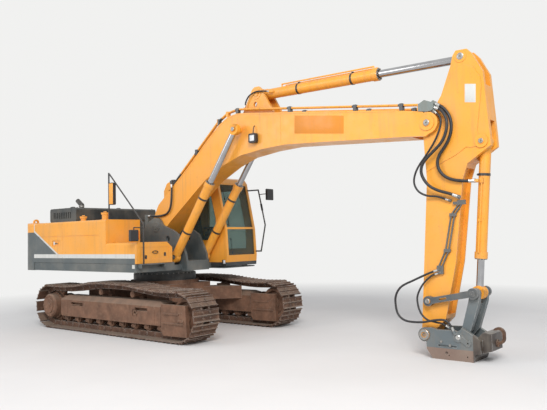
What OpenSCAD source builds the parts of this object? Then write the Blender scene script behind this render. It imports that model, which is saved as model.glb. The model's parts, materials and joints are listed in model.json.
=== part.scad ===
// Crawler excavator, standing with its stick upright and its quick coupler on the ground.
// Millimetres. The origin is on the swing axis at ground level, +X ahead, +Y to the machine's left, +Z up.
// Places in side view are given as [x, z].

/* [Undercarriage] */
// Distance between the sprocket and idler axles
wheelbase = 4030; // [3990:10:4070]
// Distance between the centre lines of the two tracks
gauge = 2390; // [2370:10:2450]
// Width of a track shoe
shoe_w = 600; // [560:10:620]
// Radius of the track's end arcs, out to the grouser tips
track_r = 455; // [450:1:460]

/* [Upper structure] */
// Half width of the house
house_hw = 1430; // [1420:5:1440]
// Underside of the revolving frame
frame_z0 = 1190; // [1180:5:1200]
// Top of the side panels and of the tank
house_top = 2200; // [2180:5:2220]
// Tail swing radius
tail_r = 3280; // [3240:10:3300]
// Top of the engine hood
hood_top = 2515; // [2480:5:2560]

/* [Cab] */
// Gap between a boom cylinder's eye and the cab's inner wall
cab_gap = 62; // [55:1:70]
// Top of the cab's roof
cab_top = 3060; // [3040:5:3090]
// Thickness of the cab's walls
cab_wall = 60; // [50:5:70]

/* [Boom and stick] */
// Half width of the boom's box
boom_hw = 245; // [235:5:250]
// Half width of the stick's box
stick_hw = 165; // [155:5:170]
// Radius of the boom cylinder barrels
boom_cyl_r = 84; // [78:1:86]
// Radius of the stick cylinder barrel
stick_cyl_r = 92; // [84:1:96]
// Radius of the coupler cylinder barrel
tool_cyl_r = 78; // [70:1:84]

/* [Hidden] */
$fn = 48;

// Running clearance of a pin in its bore
pin_fit = 0.05;
// Side gap between pieces that move past each other
side_gap = 6;

// Pin centres in side view
foot_pin = [90, 2050];
boom_end = [6090, 3400];
boom_cyl_base = [780, 1440];
boom_cyl_eye = [2430, 3750];
stick_cyl_base = [2750, 4385];
stick_cyl_eye = [6595, 4300];
stick_tip = [5945, 330];
tool_cyl_base = [6855, 3055];
tool_cyl_eye = [6680, 940];
idler_pin = [6010, 810];
coupler_pin = [6455, 330];

// Pin radii
foot_pin_r = 50;
end_pin_r = 50;
cyl_pin_r = 42;
link_pin_r = 38;

// Tracks: a polyline of the chain's pitch line, worked out from the two end arcs and the top run
track_y = gauge / 2;
axle_x = wheelbase / 2;
grouser_v = 95;
pitch_r = track_r - grouser_v;
shoe_count = 48;
rail_in = 45;
rail_out = 60;
seat_gap = 0.2;
rail_w = 32;
rail_y = 88;
plate_v = 70;
arc_steps = 12;
sprocket_teeth = 21;
// Top run between the end arcs: [x, height of the pitch line]
top_run = [[-1450, 800], [-950, 835], [-560, 893], [-150, 908], [574, 894], [1000, 844], [1500, 805]];
arc_rear = [for (i = [0:arc_steps]) let (a = 270 - 180 * i / arc_steps)
    [-axle_x + pitch_r * cos(a), track_r + pitch_r * sin(a)]];
arc_front = [for (i = [0:arc_steps]) let (a = 90 - 180 * i / arc_steps)
    [axle_x + pitch_r * cos(a), track_r + pitch_r * sin(a)]];
loop_pts = concat(arc_rear, top_run, arc_front);
loop_n = len(loop_pts);
function seg_len(i) = norm(loop_pts[(i + 1) % loop_n] - loop_pts[i]);
function run_to(i) = i <= 0 ? 0 : run_to(i - 1) + seg_len(i - 1);
loop_runs = [for (i = [0:loop_n]) run_to(i)];
loop_len = loop_runs[loop_n];
function seg_at(s) = max([for (i = [0:loop_n - 1]) loop_runs[i] <= s ? i : 0]);
function on_loop(s) = let (m = s % loop_len, i = seg_at(m), f = (m - loop_runs[i]) / seg_len(i))
    loop_pts[i] * (1 - f) + loop_pts[(i + 1) % loop_n] * f;
joints = [for (i = [0:shoe_count - 1]) on_loop(i * loop_len / shoe_count)];
function joint(i) = joints[(i + shoe_count) % shoe_count];
function link_dir(i) = (joint(i + 1) - joint(i)) / norm(joint(i + 1) - joint(i));
function left_of(d) = [-d[1], d[0]];
// Point at distance v outside the chain, at the mitre between links i - 1 and i
function mitre(i, v) = let (a = left_of(link_dir(i - 1)), b = left_of(link_dir(i)), m = a + b)
    joint(i) + m * (2 * v / (m * m));

// Height of the pitch line over x on the top run
function chain_z(x) = max([for (i = [0:shoe_count - 1]) let (a = joint(i), b = joint(i + 1))
    (a[0] - x) * (b[0] - x) <= 0 && a[0] != b[0] ? a[1] + (b[1] - a[1]) * (x - a[0]) / (b[0] - a[0]) : 0]);

// Radius at which the links bear on the idler: the least distance from its axle to a link's line
function off_axle(a, b) = let (c = [axle_x, track_r],
    t = min(1, max(0, ((c - a) * (b - a)) / ((b - a) * (b - a)))))
    norm(c - a - (b - a) * t);
tread_r = min([for (i = [0:shoe_count - 1]) off_axle(joint(i), joint(i + 1))]) - rail_in - seat_gap;

carrier_x = [-405, 574];
carrier_r = 60;
carrier_gap = 3;
function carrier_at(x) = [x, chain_z(x) - rail_in - carrier_r - carrier_gap];
roller_n = 9;
roller_r = 88;
roller_x0 = -1520;
roller_x1 = 1400;
roller_half = 118;
frame_half_y = 205;
bearing_top = 1100;
bearing_bore = 480;
side_frame_x = [-1640, 1484];
side_frame_z = [270, 600, 690];
guard_x0 = 1496;
drive_cover_r = 243;

// Upper structure: where its panels meet along X
cw_x = -2640;
door_x = -1530;
bay_x1 = -920;
bracket_x0 = -900;
tank_x = -50;
step_x = 880;
step_top = 1745;
tank_y = -boom_hw - 355;
panel_gap = 4;
skirt_top = 1355;
deck_top = skirt_top - panel_gap;
left_house_y = 560;
left_house_x1 = -640;
left_split_x = -1650;
skirt_x1 = step_x - 20;
// Radius along the top outer edges of the side panels, and the crease pressed into them
edge_r = 45;
crease_z = 1900;

rail_y_right = -house_hw + 130;
mirror_x = -110;

// Cylinder eyes and pins beside the boom
boom_cyl_y = boom_hw + 155;
eye_half = 48;
cyl_pin_y = boom_cyl_y + eye_half + 17;

// Cab
cab_y1 = house_hw;
cab_y0 = boom_cyl_y + eye_half + cab_gap;
rear_window = [cab_y0 + 110, cab_y1 - 110, 2120, 2820];
cab_x0 = -590;
cab_floor = 1360;
cab_base = 1225;
// Outer side profile, from the rear bottom round to the front bottom
cab_out = [[cab_x0, cab_base], [cab_x0, 2860], [-500, 3010], [-420, cab_top], [880, cab_top], [1000, 3020],
    [1060, 2940], [1270, 1972], [1303, 1434], [1283, cab_base]];
cab_in = [[cab_x0 + cab_wall, cab_floor], [cab_x0 + cab_wall, 2850], [-420, 2980], [860, 2980], [985, 2920],
    [1208, 1965], [1240, 1434], [1235, cab_floor]];
door_x0 = -180;
door_x1 = 1150;

// Boom outline, top edge from the foot and underside from the tip: [x, z]
boom_top = [[-60, 2190], [20, 2350], [110, 2500], [590, 2874], [1068, 3246], [1556, 3668], [1900, 3935],
    [2120, 4045], [2350, 4078], [3577, 3924], [5580, 3660], [6029, 3573]];
boom_under = [[6215, 3290], [6052, 3205], [5800, 3232], [4194, 3334], [3442, 3378], [2936, 3355],
    [2399, 3290], [1990, 3154], [1479, 2905], [936, 2497], [457, 2135], [200, 1910]];
// Doubler plates on the stick, and the boom's fork around them
doubler_t = 10;
fork_hw = stick_hw + doubler_t + side_gap;
foot_boss_r = 175;
end_boss_r = 160;

// Stick outline, from the top of its back round its tip
stick_line = [[6482, 4330], [6440, 4177], [6200, 3560], [5960, 3480], [5925, 3330], [5990, 3180],
    [6020, 2570], [5865, 420], [5860, 330], [6000, 260], [6080, 400], [6237, 560], [6418, 1375],
    [6560, 2528], [6640, 2760], [6980, 2985], [6975, 3140], [6909, 4033], [6769, 4300], [6690, 4390],
    [6530, 4395]];
stick_end_r = 150;
coupler_hw = 260;
jaw_r = 45;
jaw = [6725, 75];

orange = [0.93, 0.50, 0.10];
slate = [0.24, 0.29, 0.30];
rust = [0.33, 0.21, 0.15];
steel = [0.55, 0.56, 0.57];
black = [0.06, 0.06, 0.07];
link_blue = [0.35, 0.40, 0.45];

// An outline in side view, between y0 and y1
module slab(y0, y1) translate([0, y1, 0]) rotate([90, 0, 0]) linear_extrude(y1 - y0) children();

// An outline across the machine, [y, z], between x0 and x1
module across(x0, x1) translate([x0, 0, 0]) rotate([90, 0, 90]) linear_extrude(x1 - x0) children();

// A turned piece on an axle at p, from a profile of [radius, y]
module spun_y(p) translate([p[0], 0, p[1]]) rotate([-90, 0, 0]) rotate_extrude() children();

// A round bar across the machine
module bar_y(p, r, y0, y1) translate([p[0], y1, p[1]]) rotate([90, 0, 0]) cylinder(r = r, h = y1 - y0);

// A box from one corner to the opposite one
module block(a, b) translate(a) cube(b - a);

// A box whose edges along Y are rounded
module rounded_block(a, b, r) {
    block([a[0] + r, a[1], a[2]], [b[0] - r, b[1], b[2]]);
    block([a[0], a[1], a[2] + r], [b[0], b[1], b[2] - r]);
    for (x = [a[0] + r, b[0] - r], z = [a[2] + r, b[2] - r]) bar_y([x, z], r, a[1], b[1]);
}

// A flat strap with round ends, in side view
module strap(p, q, r) {
    d = q - p;
    translate(p) circle(r = r);
    translate(q) circle(r = r);
    translate(p) rotate(atan2(d[1], d[0])) translate([0, -r]) square([norm(d), 2 * r]);
}

// A round rod between two points in space
module rod(p, q, r) {
    d = q - p;
    translate(p) rotate([0, acos(d[2] / norm(d)), atan2(d[1], d[0])]) cylinder(r = r, h = norm(d));
}

// A flat bar of half width w between two round ends, in side view
module flat_bar(p, q, w, r0, r1) {
    d = q - p;
    translate(p) circle(r = r0);
    translate(q) circle(r = r1);
    translate(p) rotate(atan2(d[1], d[0])) translate([0, -w]) square([norm(d), 2 * w]);
}

// A hand rail through a list of points
module rail(pts, r) {
    for (i = [0:len(pts) - 2]) rod(pts[i], pts[i + 1], r);
    for (i = [1:len(pts) - 2]) translate(pts[i]) sphere(r = r * 1.06);
}

// Undercarriage

module car_body() color(rust) difference() {
    union() {
        block([-700, -620, 520], [700, 620, 900]);
        translate([0, 0, 880]) cylinder(r = 700, h = 90);
        for (sx = [-1, 1], sy = [-1, 1])
            translate([0, 0, 540]) linear_extrude(260) polygon([[sx * 250, sy * 560],
                [sx * 690, sy * 420], [sx * 1250, sy * (track_y - frame_half_y)],
                [sx * 760, sy * (track_y - frame_half_y)]]);
    }
    translate([0, 0, 500]) cylinder(r = 330, h = 600);
}

module swing_bearing() color(steel) difference() {
    translate([0, 0, 970]) cylinder(r = 640, h = bearing_top - 970);
    translate([0, 0, 960]) cylinder(r = bearing_bore, h = 200);
}

// One half of the frame's section, [y, z]: leg, sloped shoulder, flat top
function frame_half(s) = [[s * 205, side_frame_z[0]], [s * frame_half_y, side_frame_z[1]],
    [s * 110, side_frame_z[2]]];

module side_frame() color(rust) {
    difference() {
        union() {
            intersection() {
                across(side_frame_x[0], side_frame_x[1]) difference() {
                    polygon(concat(frame_half(-1), [for (i = [2:-1:0]) frame_half(1)[i]]));
                    translate([-frame_half_y + 22, 200]) square([2 * frame_half_y - 44, 130]);
                }
                slab(-300, 300) polygon([[side_frame_x[0], 300], [side_frame_x[0] + 60, 260],
                    [side_frame_x[1], 260], [side_frame_x[1], 660], [1330, 700], [-1480, 700],
                    [side_frame_x[0], 620]]);
            }
            for (x = carrier_x) block([x - 60, roller_half, 600], [x + 60, 190, carrier_at(x)[1] + 45]);
            // Motor bracket behind the box, on the inner side of the chain
            slab(135, frame_half_y) polygon([[side_frame_x[0] + 10, 300], [side_frame_x[0] + 10, 640],
                [-1900, 690], [-2150, 640], [-2240, 455], [-2150, 270], [-1900, 230]]);
            slab(-110, 110) polygon([[side_frame_x[1] - 60, 330], [side_frame_x[1] - 60, 640], [1600, 600],
                [1600, 370]]);
            // Idler guides, joined to the box inside the seam
            for (s = [-1, 1]) guide(s);
        }
        bar_y([axle_x, track_r], 70 + pin_fit, -260, 260);
        bar_y([-axle_x, track_r], 180, -260, 260);
        // Steps in the outer face, and the hole of the track adjuster
        for (r = step_pockets) block([r[0], -frame_half_y - 1, r[2]], [r[1], -frame_half_y + 70, r[3]]);
        bar_y([770, 462], 28, -frame_half_y - 1, -frame_half_y + 40);
    }
    block([-1276, -frame_half_y + 4, 500], [-990, -frame_half_y + 70, 512]);
}

// Pockets in the outer face: [x0, x1, z0, z1]
step_pockets = [[-1276, -872, 490, 560], [770, 1124, 505, 560]];

// A guide plate beside the idler, with its two ribs and the seam to the box
module guide(s) {
    y0 = s > 0 ? 125 : -frame_half_y;
    y1 = s > 0 ? frame_half_y : -125;
    slab(y0, y1) polygon([[guard_x0, 205], [1549, 110], [2155, 118], [2120, 650], [guard_x0, 655]]);
    for (z = [315, 480]) slab(s > 0 ? y1 - 1 : y0 - 15, s > 0 ? y1 + 15 : y0 + 1)
        polygon([[1560, z], [2060, z], [2075, z + 13], [2060, z + 26], [1560, z + 26]]);
    slab(s > 0 ? y1 - 30 : y0 + 10, s > 0 ? y1 - 10 : y0 + 30)
        polygon([[side_frame_x[1] - 40, 340], [guard_x0 + 5, 340], [guard_x0 + 5, 600],
            [side_frame_x[1] - 40, 600]]);
}

module side_frame_right() translate([0, -track_y, 0]) side_frame();
module side_frame_left() translate([0, track_y, 0]) mirror([0, 1, 0]) side_frame();

// One shoe with three grousers, lying along +x with its chain below
module shoe_outline(half) polygon([[-half, rail_out - 6], [half, rail_out - 6], [half, grouser_v],
    [half - 24, plate_v], [14, plate_v], [0, grouser_v], [-14, plate_v], [-half + 24, plate_v],
    [-half, grouser_v]]);

module track() color(rust) {
    for (s = [-1, 1]) slab(s * rail_y - rail_w / 2, s * rail_y + rail_w / 2) difference() {
        polygon([for (i = [0:shoe_count - 1]) mitre(i, rail_out)]);
        polygon([for (i = [0:shoe_count - 1]) mitre(i, -rail_in)]);
    }
    for (i = [0:shoe_count - 1]) {
        mid = (joint(i) + joint(i + 1)) / 2;
        d = link_dir(i);
        half = norm(joint(i + 1) - joint(i)) / 2 - 2;
        slab(-shoe_w / 2, shoe_w / 2) translate(mid) rotate(atan2(d[1], d[0])) shoe_outline(half);
    }
}

module track_right() translate([0, -track_y, 0]) track();
module track_left() translate([0, track_y, 0]) track();

// A gear outline with flat-topped teeth
module tooth_ring(root, tip, n) polygon([for (i = [0:n - 1], k = [-0.34, -0.13, 0.13, 0.34])
    let (a = 360 / n * (i + k), r = abs(k) < 0.2 ? tip : root) [r * cos(a), r * sin(a)]]);

module sprocket() color(rust) {
    slab(-40, 40) translate([-axle_x, track_r]) tooth_ring(tread_r + 6, pitch_r + 8, sprocket_teeth);
    spun_y([-axle_x, track_r]) polygon([[0, -275], [60, -275], [60, -268], [150, -268], [150, -252],
        [drive_cover_r - 25, -252], [drive_cover_r, -225], [drive_cover_r, -110], [270, -100], [270, 60],
        [178, 60], [178, 290], [0, 290]]);
    spun_y([-axle_x, track_r]) polygon([[170, frame_half_y], [225, frame_half_y], [225, 240], [170, 240]]);
    for (i = [0:11]) rotate_about([-axle_x, track_r], 30 * i)
        bar_y([-axle_x + drive_cover_r - 45, track_r], 13, -264, -240);
}

// Turns its children about an axle at p
module rotate_about(p, a)
    translate([p[0], 0, p[1]]) rotate([0, a, 0]) translate([-p[0], 0, -p[1]]) children();

module sprocket_right() translate([0, -track_y, 0]) sprocket();
module sprocket_left() translate([0, track_y, 0]) mirror([0, 1, 0]) sprocket();

module idler() color(rust) {
    spun_y([axle_x, track_r]) polygon(concat([for (q = idler_half) [q[0], -q[1]]],
        [for (i = [len(idler_half) - 1:-1:0]) idler_half[i]]));
    bar_y([axle_x, track_r], 70, -frame_half_y + 2, frame_half_y - 2);
}

// Half of the idler's profile from its hub to its flange, [radius, y]
idler_half = [[0, 114], [130, 114], [130, 74], [tread_r - 75, 56], [tread_r - 40, 112], [tread_r, 112],
    [tread_r, 52], [tread_r + 33, 44]];

module idler_right() translate([0, -track_y, 0]) idler();
module idler_left() translate([0, track_y, 0]) idler();

module rollers() color(rust) {
    for (i = [0:roller_n - 1]) {
        x = roller_x0 + (roller_x1 - roller_x0) * i / (roller_n - 1);
        z = track_r - pitch_r + rail_in + seat_gap + roller_r;
        spun_y([x, z]) polygon([[0, -150], [40, -150], [40, -roller_half], [roller_r - 8, -roller_half],
            [roller_r, -110], [roller_r, -62], [66, -50], [66, 50], [roller_r, 62], [roller_r, 110],
            [roller_r - 8, roller_half], [40, roller_half], [40, 150], [0, 150]]);
        for (y = [-150, roller_half]) block([x - 60, y, z - 45], [x + 60, y + 32, 330]);
    }
    for (x = carrier_x) spun_y(carrier_at(x))
        polygon([[0, -118], [38, -118], [38, -108], [carrier_r, -104], [carrier_r, -62], [50, -54], [50, 54],
            [carrier_r, 62], [carrier_r, 104], [38, 108], [38, roller_half], [0, roller_half]]);
}

module rollers_right() translate([0, -track_y, 0]) rollers();
module rollers_left() translate([0, track_y, 0]) mirror([0, 1, 0]) rollers();

// Upper structure

bracket_y0 = boom_hw + side_gap + 2;
bracket_y1 = bracket_y0 + 50;

module main_frame() color(slate) {
    translate([0, 0, bearing_top + 1]) cylinder(r = 600, h = frame_z0 - bearing_top);
    translate([0, 0, bearing_top - 90]) cylinder(r = bearing_bore - pin_fit, h = 100);
    deck();
    // Cab deck on its four mounts
    block([cab_x0 - 10, cab_y0 - 10, frame_z0 - 10], [1240, house_hw - 10, frame_z0 + 15]);
    for (x = [cab_x0 + 150, 1080], y = [cab_y0 + 150, cab_y1 - 150])
        translate([x, y, frame_z0]) cylinder(r = 60, h = cab_base - frame_z0);
    // Centre beam and the two boom brackets
    block([bracket_x0, -bracket_y1, frame_z0 - 20], [1000, bracket_y1, deck_top + 10]);
    for (s = [-1, 1]) slab(s > 0 ? bracket_y0 : -bracket_y1, s > 0 ? bracket_y1 : -bracket_y0) bracket();
    bar_y(foot_pin, foot_pin_r, -bracket_y1 - 25, bracket_y1 + 25);
    for (s = [-1, 1]) {
        slab(s > 0 ? bracket_y1 - 1 : -bracket_y1 - 12, s > 0 ? bracket_y1 + 12 : -bracket_y1 + 1) {
            translate(foot_pin) circle(r = 105);
        }
        bar_y(boom_cyl_base, cyl_pin_r, s > 0 ? bracket_y1 - 5 : -cyl_pin_y,
            s > 0 ? cyl_pin_y : -bracket_y1 + 5);
    }
    door_pin(door_x - 1, cw_x, -1);
    door_pin(cw_x + 6, left_split_x, 1);
    door_pin(left_split_x + 2, left_house_x1, 1);
    // Hose block on the right bracket
    block([-260, -bracket_y1 + 2, 2050], [-170, -bracket_y0, 2312]);
    gland(hose_foot_pts, len(hose_foot_pts) - 1, 30, 28);
    // Step at the toolbox's front
    block([step_x - 25, -1390, step_plate_z - 15], [step_x + 90, -830, step_plate_z]);
    for (y = [-1390, -842]) block([step_x - 25, y, step_plate_z - 75],
        [step_x + 90, y + 12, step_plate_z - 14]);
}

// Revolving frame under the house and the skirt along its right side
module deck() {
    block([cw_x, -house_hw + 10, frame_z0], [cab_x0 - 6, house_hw - 10, deck_top]);
    block([cab_x0 - 10, -house_hw + 10, frame_z0], [skirt_x1, cab_y0 - 16, deck_top - 60]);
    block([cab_x0 - 10, -house_hw + 10, deck_top - 61], [skirt_x1, tank_y + 100, deck_top]);
}

// One boom bracket: foot boss, sloped nose and the boom cylinder's boss
module bracket() difference() {
    union() {
        polygon([[bracket_x0, deck_top], [-700, 1650], [-140, 2160], [20, 2230], [180, 2210], [300, 2080],
            [620, 1960], [760, 1880], [960, 1500], [1000, 1300], [960, deck_top - 100],
            [bracket_x0, deck_top - 100]]);
        translate(foot_pin) circle(r = 185);
        translate(boom_cyl_base) circle(r = 130);
    }
    translate([450, 1800]) circle(r = 60);
}

cw_z0 = frame_z0 - 5;
cw_side_x = -2835;
cw_corner_r = 250;
cw_edge_r = 90;

module counterweight() color(slate) {
    difference() {
        intersection() {
            translate([0, 0, cw_z0]) linear_extrude(house_top + 10 - cw_z0) intersection() {
                union() {
                    translate([cw_side_x, -house_hw]) square([cw_x - cw_side_x, 2 * house_hw]);
                    translate([-tail_r - 100, -house_hw + cw_corner_r])
                        square([tail_r + 100 + cw_x, 2 * (house_hw - cw_corner_r)]);
                    for (s = [-1, 1])
                        translate([cw_side_x, s * (house_hw - cw_corner_r)]) circle(r = cw_corner_r);
                }
                circle(r = tail_r, $fn = 96);
            }
            rounded_block([-tail_r - 10, -house_hw - 50, cw_z0], [cw_x + 300, house_hw + 50, house_top + 10],
                cw_edge_r);
            across(-tail_r - 10, cw_x) side_rounding(cw_z0);
        }
        // Recess with the towing pin's bore, and the seams of the casting
        block([-tail_r - 10, -130, cw_z0 - 1], [-tail_r + 150, 130, cw_z0 + 150]);
        for (s = [-1, 1]) block([-tail_r - 10, s * 760 - 8, cw_z0 - 1],
            [-tail_r + 12, s * 760 + 8, house_top + 20]);
    }
    translate([-tail_r + 70, 0, cw_z0 + 1]) cylinder(r = 32, h = 150);
    for (s = [-1, 1])
        translate([-2950, s * (house_hw - 230), 0]) rotate([0, 0, 90]) slab(-24, 24) difference() {
        union() {
            translate([0, house_top + 40]) circle(r = 62);
            translate([-62, house_top]) square([124, 41]);
        }
        translate([0, house_top + 40]) circle(r = 30);
    }
}

// Width of the house with its top edges rounded, [y, z]
module side_rounding(z0) {
    translate([-house_hw, z0]) square([2 * house_hw, house_top - edge_r - z0]);
    translate([-house_hw + edge_r, z0]) square([2 * (house_hw - edge_r), house_top + 10 - z0]);
    for (s = [-1, 1]) translate([s * (house_hw - edge_r), house_top - edge_r]) circle(r = edge_r);
}

module fuel_tank() color(orange) {
    difference() {
        block([door_x + panel_gap, -house_hw, deck_top + panel_gap], [tank_x, tank_y, house_top]);
        top_edge_cut(door_x, tank_x, -1);
        block([door_x, -house_hw - 1, crease_z - 6], [tank_x - 210, -house_hw + 7, crease_z + 6]);
    }
    block([door_x + 100, -house_hw + 100, deck_top], [tank_x - 100, tank_y - 100, deck_top + panel_gap + 1]);
    for (y = lid_ears) {
        bar_y(lid_hinge, hinge_r, y - 50, y + 50);
        for (e = [-46, 30]) block([tank_x - 5, y + e, lid_hinge[1] - 14],
            [lid_hinge[0] + 12, y + e + 16, lid_hinge[1] + 14]);
    }
    // Filler necks with their caps: [x, radius, height]
    for (c = [[-1120, 55, 90], [-380, 62, 140]]) translate([c[0], -house_hw + 230, house_top - 5]) {
        cylinder(r = c[1], h = c[2]);
        translate([0, 0, c[2] - 30]) cylinder(r = c[1] + 12, h = 42);
        translate([0, 0, -1]) cylinder(r = c[1] + 30, h = 16);
    }
}

// Takes the top outer edge of a side panel off to its radius
module top_edge_cut(x0, x1, side) translate([0, side * (house_hw - edge_r), house_top - edge_r])
    across(x0 - 20, x1 + 20) difference() {
        translate([side > 0 ? 0 : -edge_r - 1, 0]) square([edge_r + 1, edge_r + 1]);
        circle(r = edge_r);
    }

box_y1 = tank_y + 30;
box_y0 = box_y1 - 130;
lid_t = 29;
lid_y0 = -house_hw + 157;
lid_gap = 6;

module toolbox() color(orange) difference() {
    union() {
        block([tank_x + 2, -house_hw, deck_top], [step_x, box_y1, step_top - lid_t - 1]);
        block([tank_x + 2, -house_hw, deck_top], [step_x, lid_y0 - lid_gap, step_top]);
    }
    block([tank_x + 60, lid_y0 + 25, deck_top + 40], [step_x - 50, box_y0 - 20, step_top]);
    inner_corner_cut();
    top_step_cut();
    // Recessed panel in the front
    block([step_x - 8, -house_hw + 90, deck_top + 80], [step_x + 1, box_y1 - 90, step_top - 90]);
}

// The outer top edge taken off to a radius
module top_step_cut() across(tank_x, step_x + 10) difference() {
    translate([-house_hw - 1, step_top - edge_r]) square([edge_r + 1, edge_r + 1]);
    translate([-house_hw + edge_r, step_top - edge_r]) circle(r = edge_r);
}

// The sloped top corner beside the boom
module inner_corner_cut() across(tank_x, step_x + 10)
    polygon([[box_y0, step_top + 1], [box_y1 + 1, step_top + 1], [box_y1 + 1, step_top - 106]]);

lid_hinge = [tank_x + 26, step_top + 6];
lid_ears = [-1210, -770];

module toolbox_lid() color(orange) difference() {
    union() {
        difference() {
            block([tank_x + 44, lid_y0, step_top - lid_t], [step_x, box_y1, step_top]);
            inner_corner_cut();
            // Anti-slip ribs are left between shallow grooves
            for (x = [tank_x + 120:90:step_x - 60]) block([x, lid_y0 + 40, step_top - 4],
                [x + 40, box_y0 - 40, step_top + 1]);
        }
        for (y = lid_ears) slab(y - 25, y + 25) {
            translate(lid_hinge) circle(r = 16);
            translate([lid_hinge[0], lid_hinge[1] - 16]) square([60, 24]);
        }
    }
    for (y = lid_ears) bar_y(lid_hinge, hinge_r + pin_fit, y - 40, y + 40);
}

// A side door whose hinge edge is round about its hinge axis and turns on a pin at its foot.
// side is -1 for the right side and 1 for the left; the hinge is at x0, the latch at x1.
door_t = 56;
door_edge = door_t / 2;
hinge_r = 10;
module side_door(x0, x1, side) difference() {
    y = side * (house_hw - door_edge);
    toward = x1 > x0 ? 1 : -1;
    union() {
        block([min(x0 + toward * door_edge, x1), y - door_edge, deck_top + panel_gap],
            [max(x0 + toward * door_edge, x1), y + door_edge, house_top]);
        translate([x0 + toward * door_edge, y, deck_top + panel_gap])
            cylinder(r = door_edge, h = house_top - deck_top - panel_gap);
    }
    translate([x0 + toward * door_edge, y, deck_top]) cylinder(r = hinge_r + pin_fit, h = 60);
    top_edge_cut(min(x0, x1), max(x0, x1), side);
}

// A latch sunk into a side door's outer face, in the middle of its pocket at [x, z]
module latch_pocket(p, side) {
    y = side * house_hw;
    difference() {
        children();
        block([p[0] - 147, min(y - side * 16, y + side), p[1] - 58],
            [p[0] + 147, max(y - side * 16, y + side), p[1] + 58]);
    }
    block([p[0] - 60, min(y - side * 17, y - side * 4), p[1] - 20],
        [p[0] + 60, max(y - side * 17, y - side * 4), p[1] + 20]);
}

// The pin that a side door turns on, standing on the deck
module door_pin(x0, x1, side)
    translate([x0 + (x1 > x0 ? 1 : -1) * door_edge, side * (house_hw - door_edge), deck_top - 20])
        cylinder(r = hinge_r, h = 70);

module pump_door() color(orange) latch_pocket([-1760, 1755], -1) difference() {
    side_door(door_x - 1, cw_x + panel_gap, -1);
    block([cw_x + 190, -house_hw - 1, crease_z - 6], [door_x + 10, -house_hw + 7, crease_z + 6]);
}

module bay_cover() color(slate) difference() {
    union() {
        block([cw_x, -house_hw + 64, deck_top], [bay_x1, left_house_y, house_top]);
        for (y = hood_ears) {
            bar_y(hood_hinge, hinge_r, y - 60, y + 60);
            for (e = [-56, 36]) block([hood_hinge[0] - 16, y + e, house_top - 5],
                [hood_hinge[0] + 16, y + e + 20, hood_hinge[1] + 16]);
        }
    }
    // Engine bay, open at the top under the hood
    block([cw_x + 60, -house_hw + 110, deck_top + 40], [door_x - 40, left_house_y - 60, house_top - 40]);
    block([cw_x + 75, -995, deck_top + 40], [-1665, left_house_y - 60, house_top + 10]);
    block([door_x - 10, -house_hw, deck_top - 10], [bay_x1 + 10, tank_y + 4, house_top + 10]);
    block([door_x - 60, tank_y + 60, deck_top + 40], [bay_x1 - 60, left_house_y - 60, house_top - 50]);
}

module engine() color(steel)
    block([-2450, -700, deck_top + 40], [-1620, 450, 2060]);

hood_hinge = [-1584, house_top + 34];
hood_ears = [-450, 400];

module engine_hood() color(slate) difference() {
    union() {
        rounded_block([cw_x + 20, -1050, house_top + 14], [-1610, 1120, hood_top], 50);
        for (y = hood_ears) slab(y - 30, y + 30) {
            translate(hood_hinge) circle(r = 20);
            translate([hood_hinge[0] - 60, hood_hinge[1] - 2]) square([60, 22]);
        }
    }
    block([cw_x + 70, -1000, house_top], [-1660, 1070, hood_top - 50]);
    for (y = hood_ears) bar_y(hood_hinge, hinge_r + pin_fit, y - 40, y + 40);
    // Air slots in the right end
    for (x = [-2480:70:-1820]) block([x, -1060, house_top + 90], [x + 38, -990, hood_top - 90]);
}

module left_house() color(orange) difference() {
    block([cw_x + panel_gap, left_house_y, deck_top], [left_house_x1, house_hw - 62, house_top]);
    block([cw_x + 60, left_house_y + 50, deck_top + 40], [left_split_x - 25, house_hw, house_top - 50]);
    block([left_split_x + 25, left_house_y + 50, deck_top + 40],
        [left_house_x1 - 50, house_hw, house_top - 50]);
}

module radiator_door() color(orange) difference() {
    latch_pocket([left_split_x - 190, 1420], 1) side_door(cw_x + 6, left_split_x - 4, 1);
    // Two columns of air slots
    for (x = [cw_x + 110, cw_x + 530], i = [0:8])
        block([x, house_hw - 80, 1515 + 62 * i], [x + 340, house_hw + 10, 1541 + 62 * i]);
}

module battery_door() color(orange) latch_pocket([left_house_x1 - 220, 1755], 1) difference() {
    side_door(left_split_x + 2, left_house_x1, 1);
    block([left_split_x + 60, house_hw - 7, crease_z - 6], [left_house_x1 + 10, house_hw + 1, crease_z + 6]);
}

module exhaust() color(black) translate([-2200, -520, hood_top]) {
    difference() {
        union() {
            cylinder(r = 55, h = 91);
            translate([0, 0, 90]) sphere(r = 55);
            translate([0, 0, 90]) rotate([0, -55, 0]) cylinder(r = 52, h = 190);
        }
        translate([0, 0, 90]) rotate([0, -55, 0]) cylinder(r = 45, h = 200);
    }
    cylinder(r = 85, h = 14);
}

// Cab

module cab_shell() color(orange) {
    cab_box();
    for (z = cab_hinge_z) {
        translate([cab_hinge[0], cab_hinge[1], z - 50]) cylinder(r = hinge_r, h = 100);
        for (e = [-48, 28]) block([cab_hinge[0] - 45, cab_y1 - 2, z + e],
            [cab_hinge[0] + 10, cab_hinge[1] + 12, z + e + 20]);
    }
    // Roof hatch, gutter over the door and the rounded front of the roof
    rounded_block([-200, cab_y0 + 190, cab_top - 5], [500, cab_y1 - 190, cab_top + 28], 14);
    block([door_x0 - 20, cab_y1 - 1, 2930], [930, cab_y1 + 14, 2950]);
}

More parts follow.
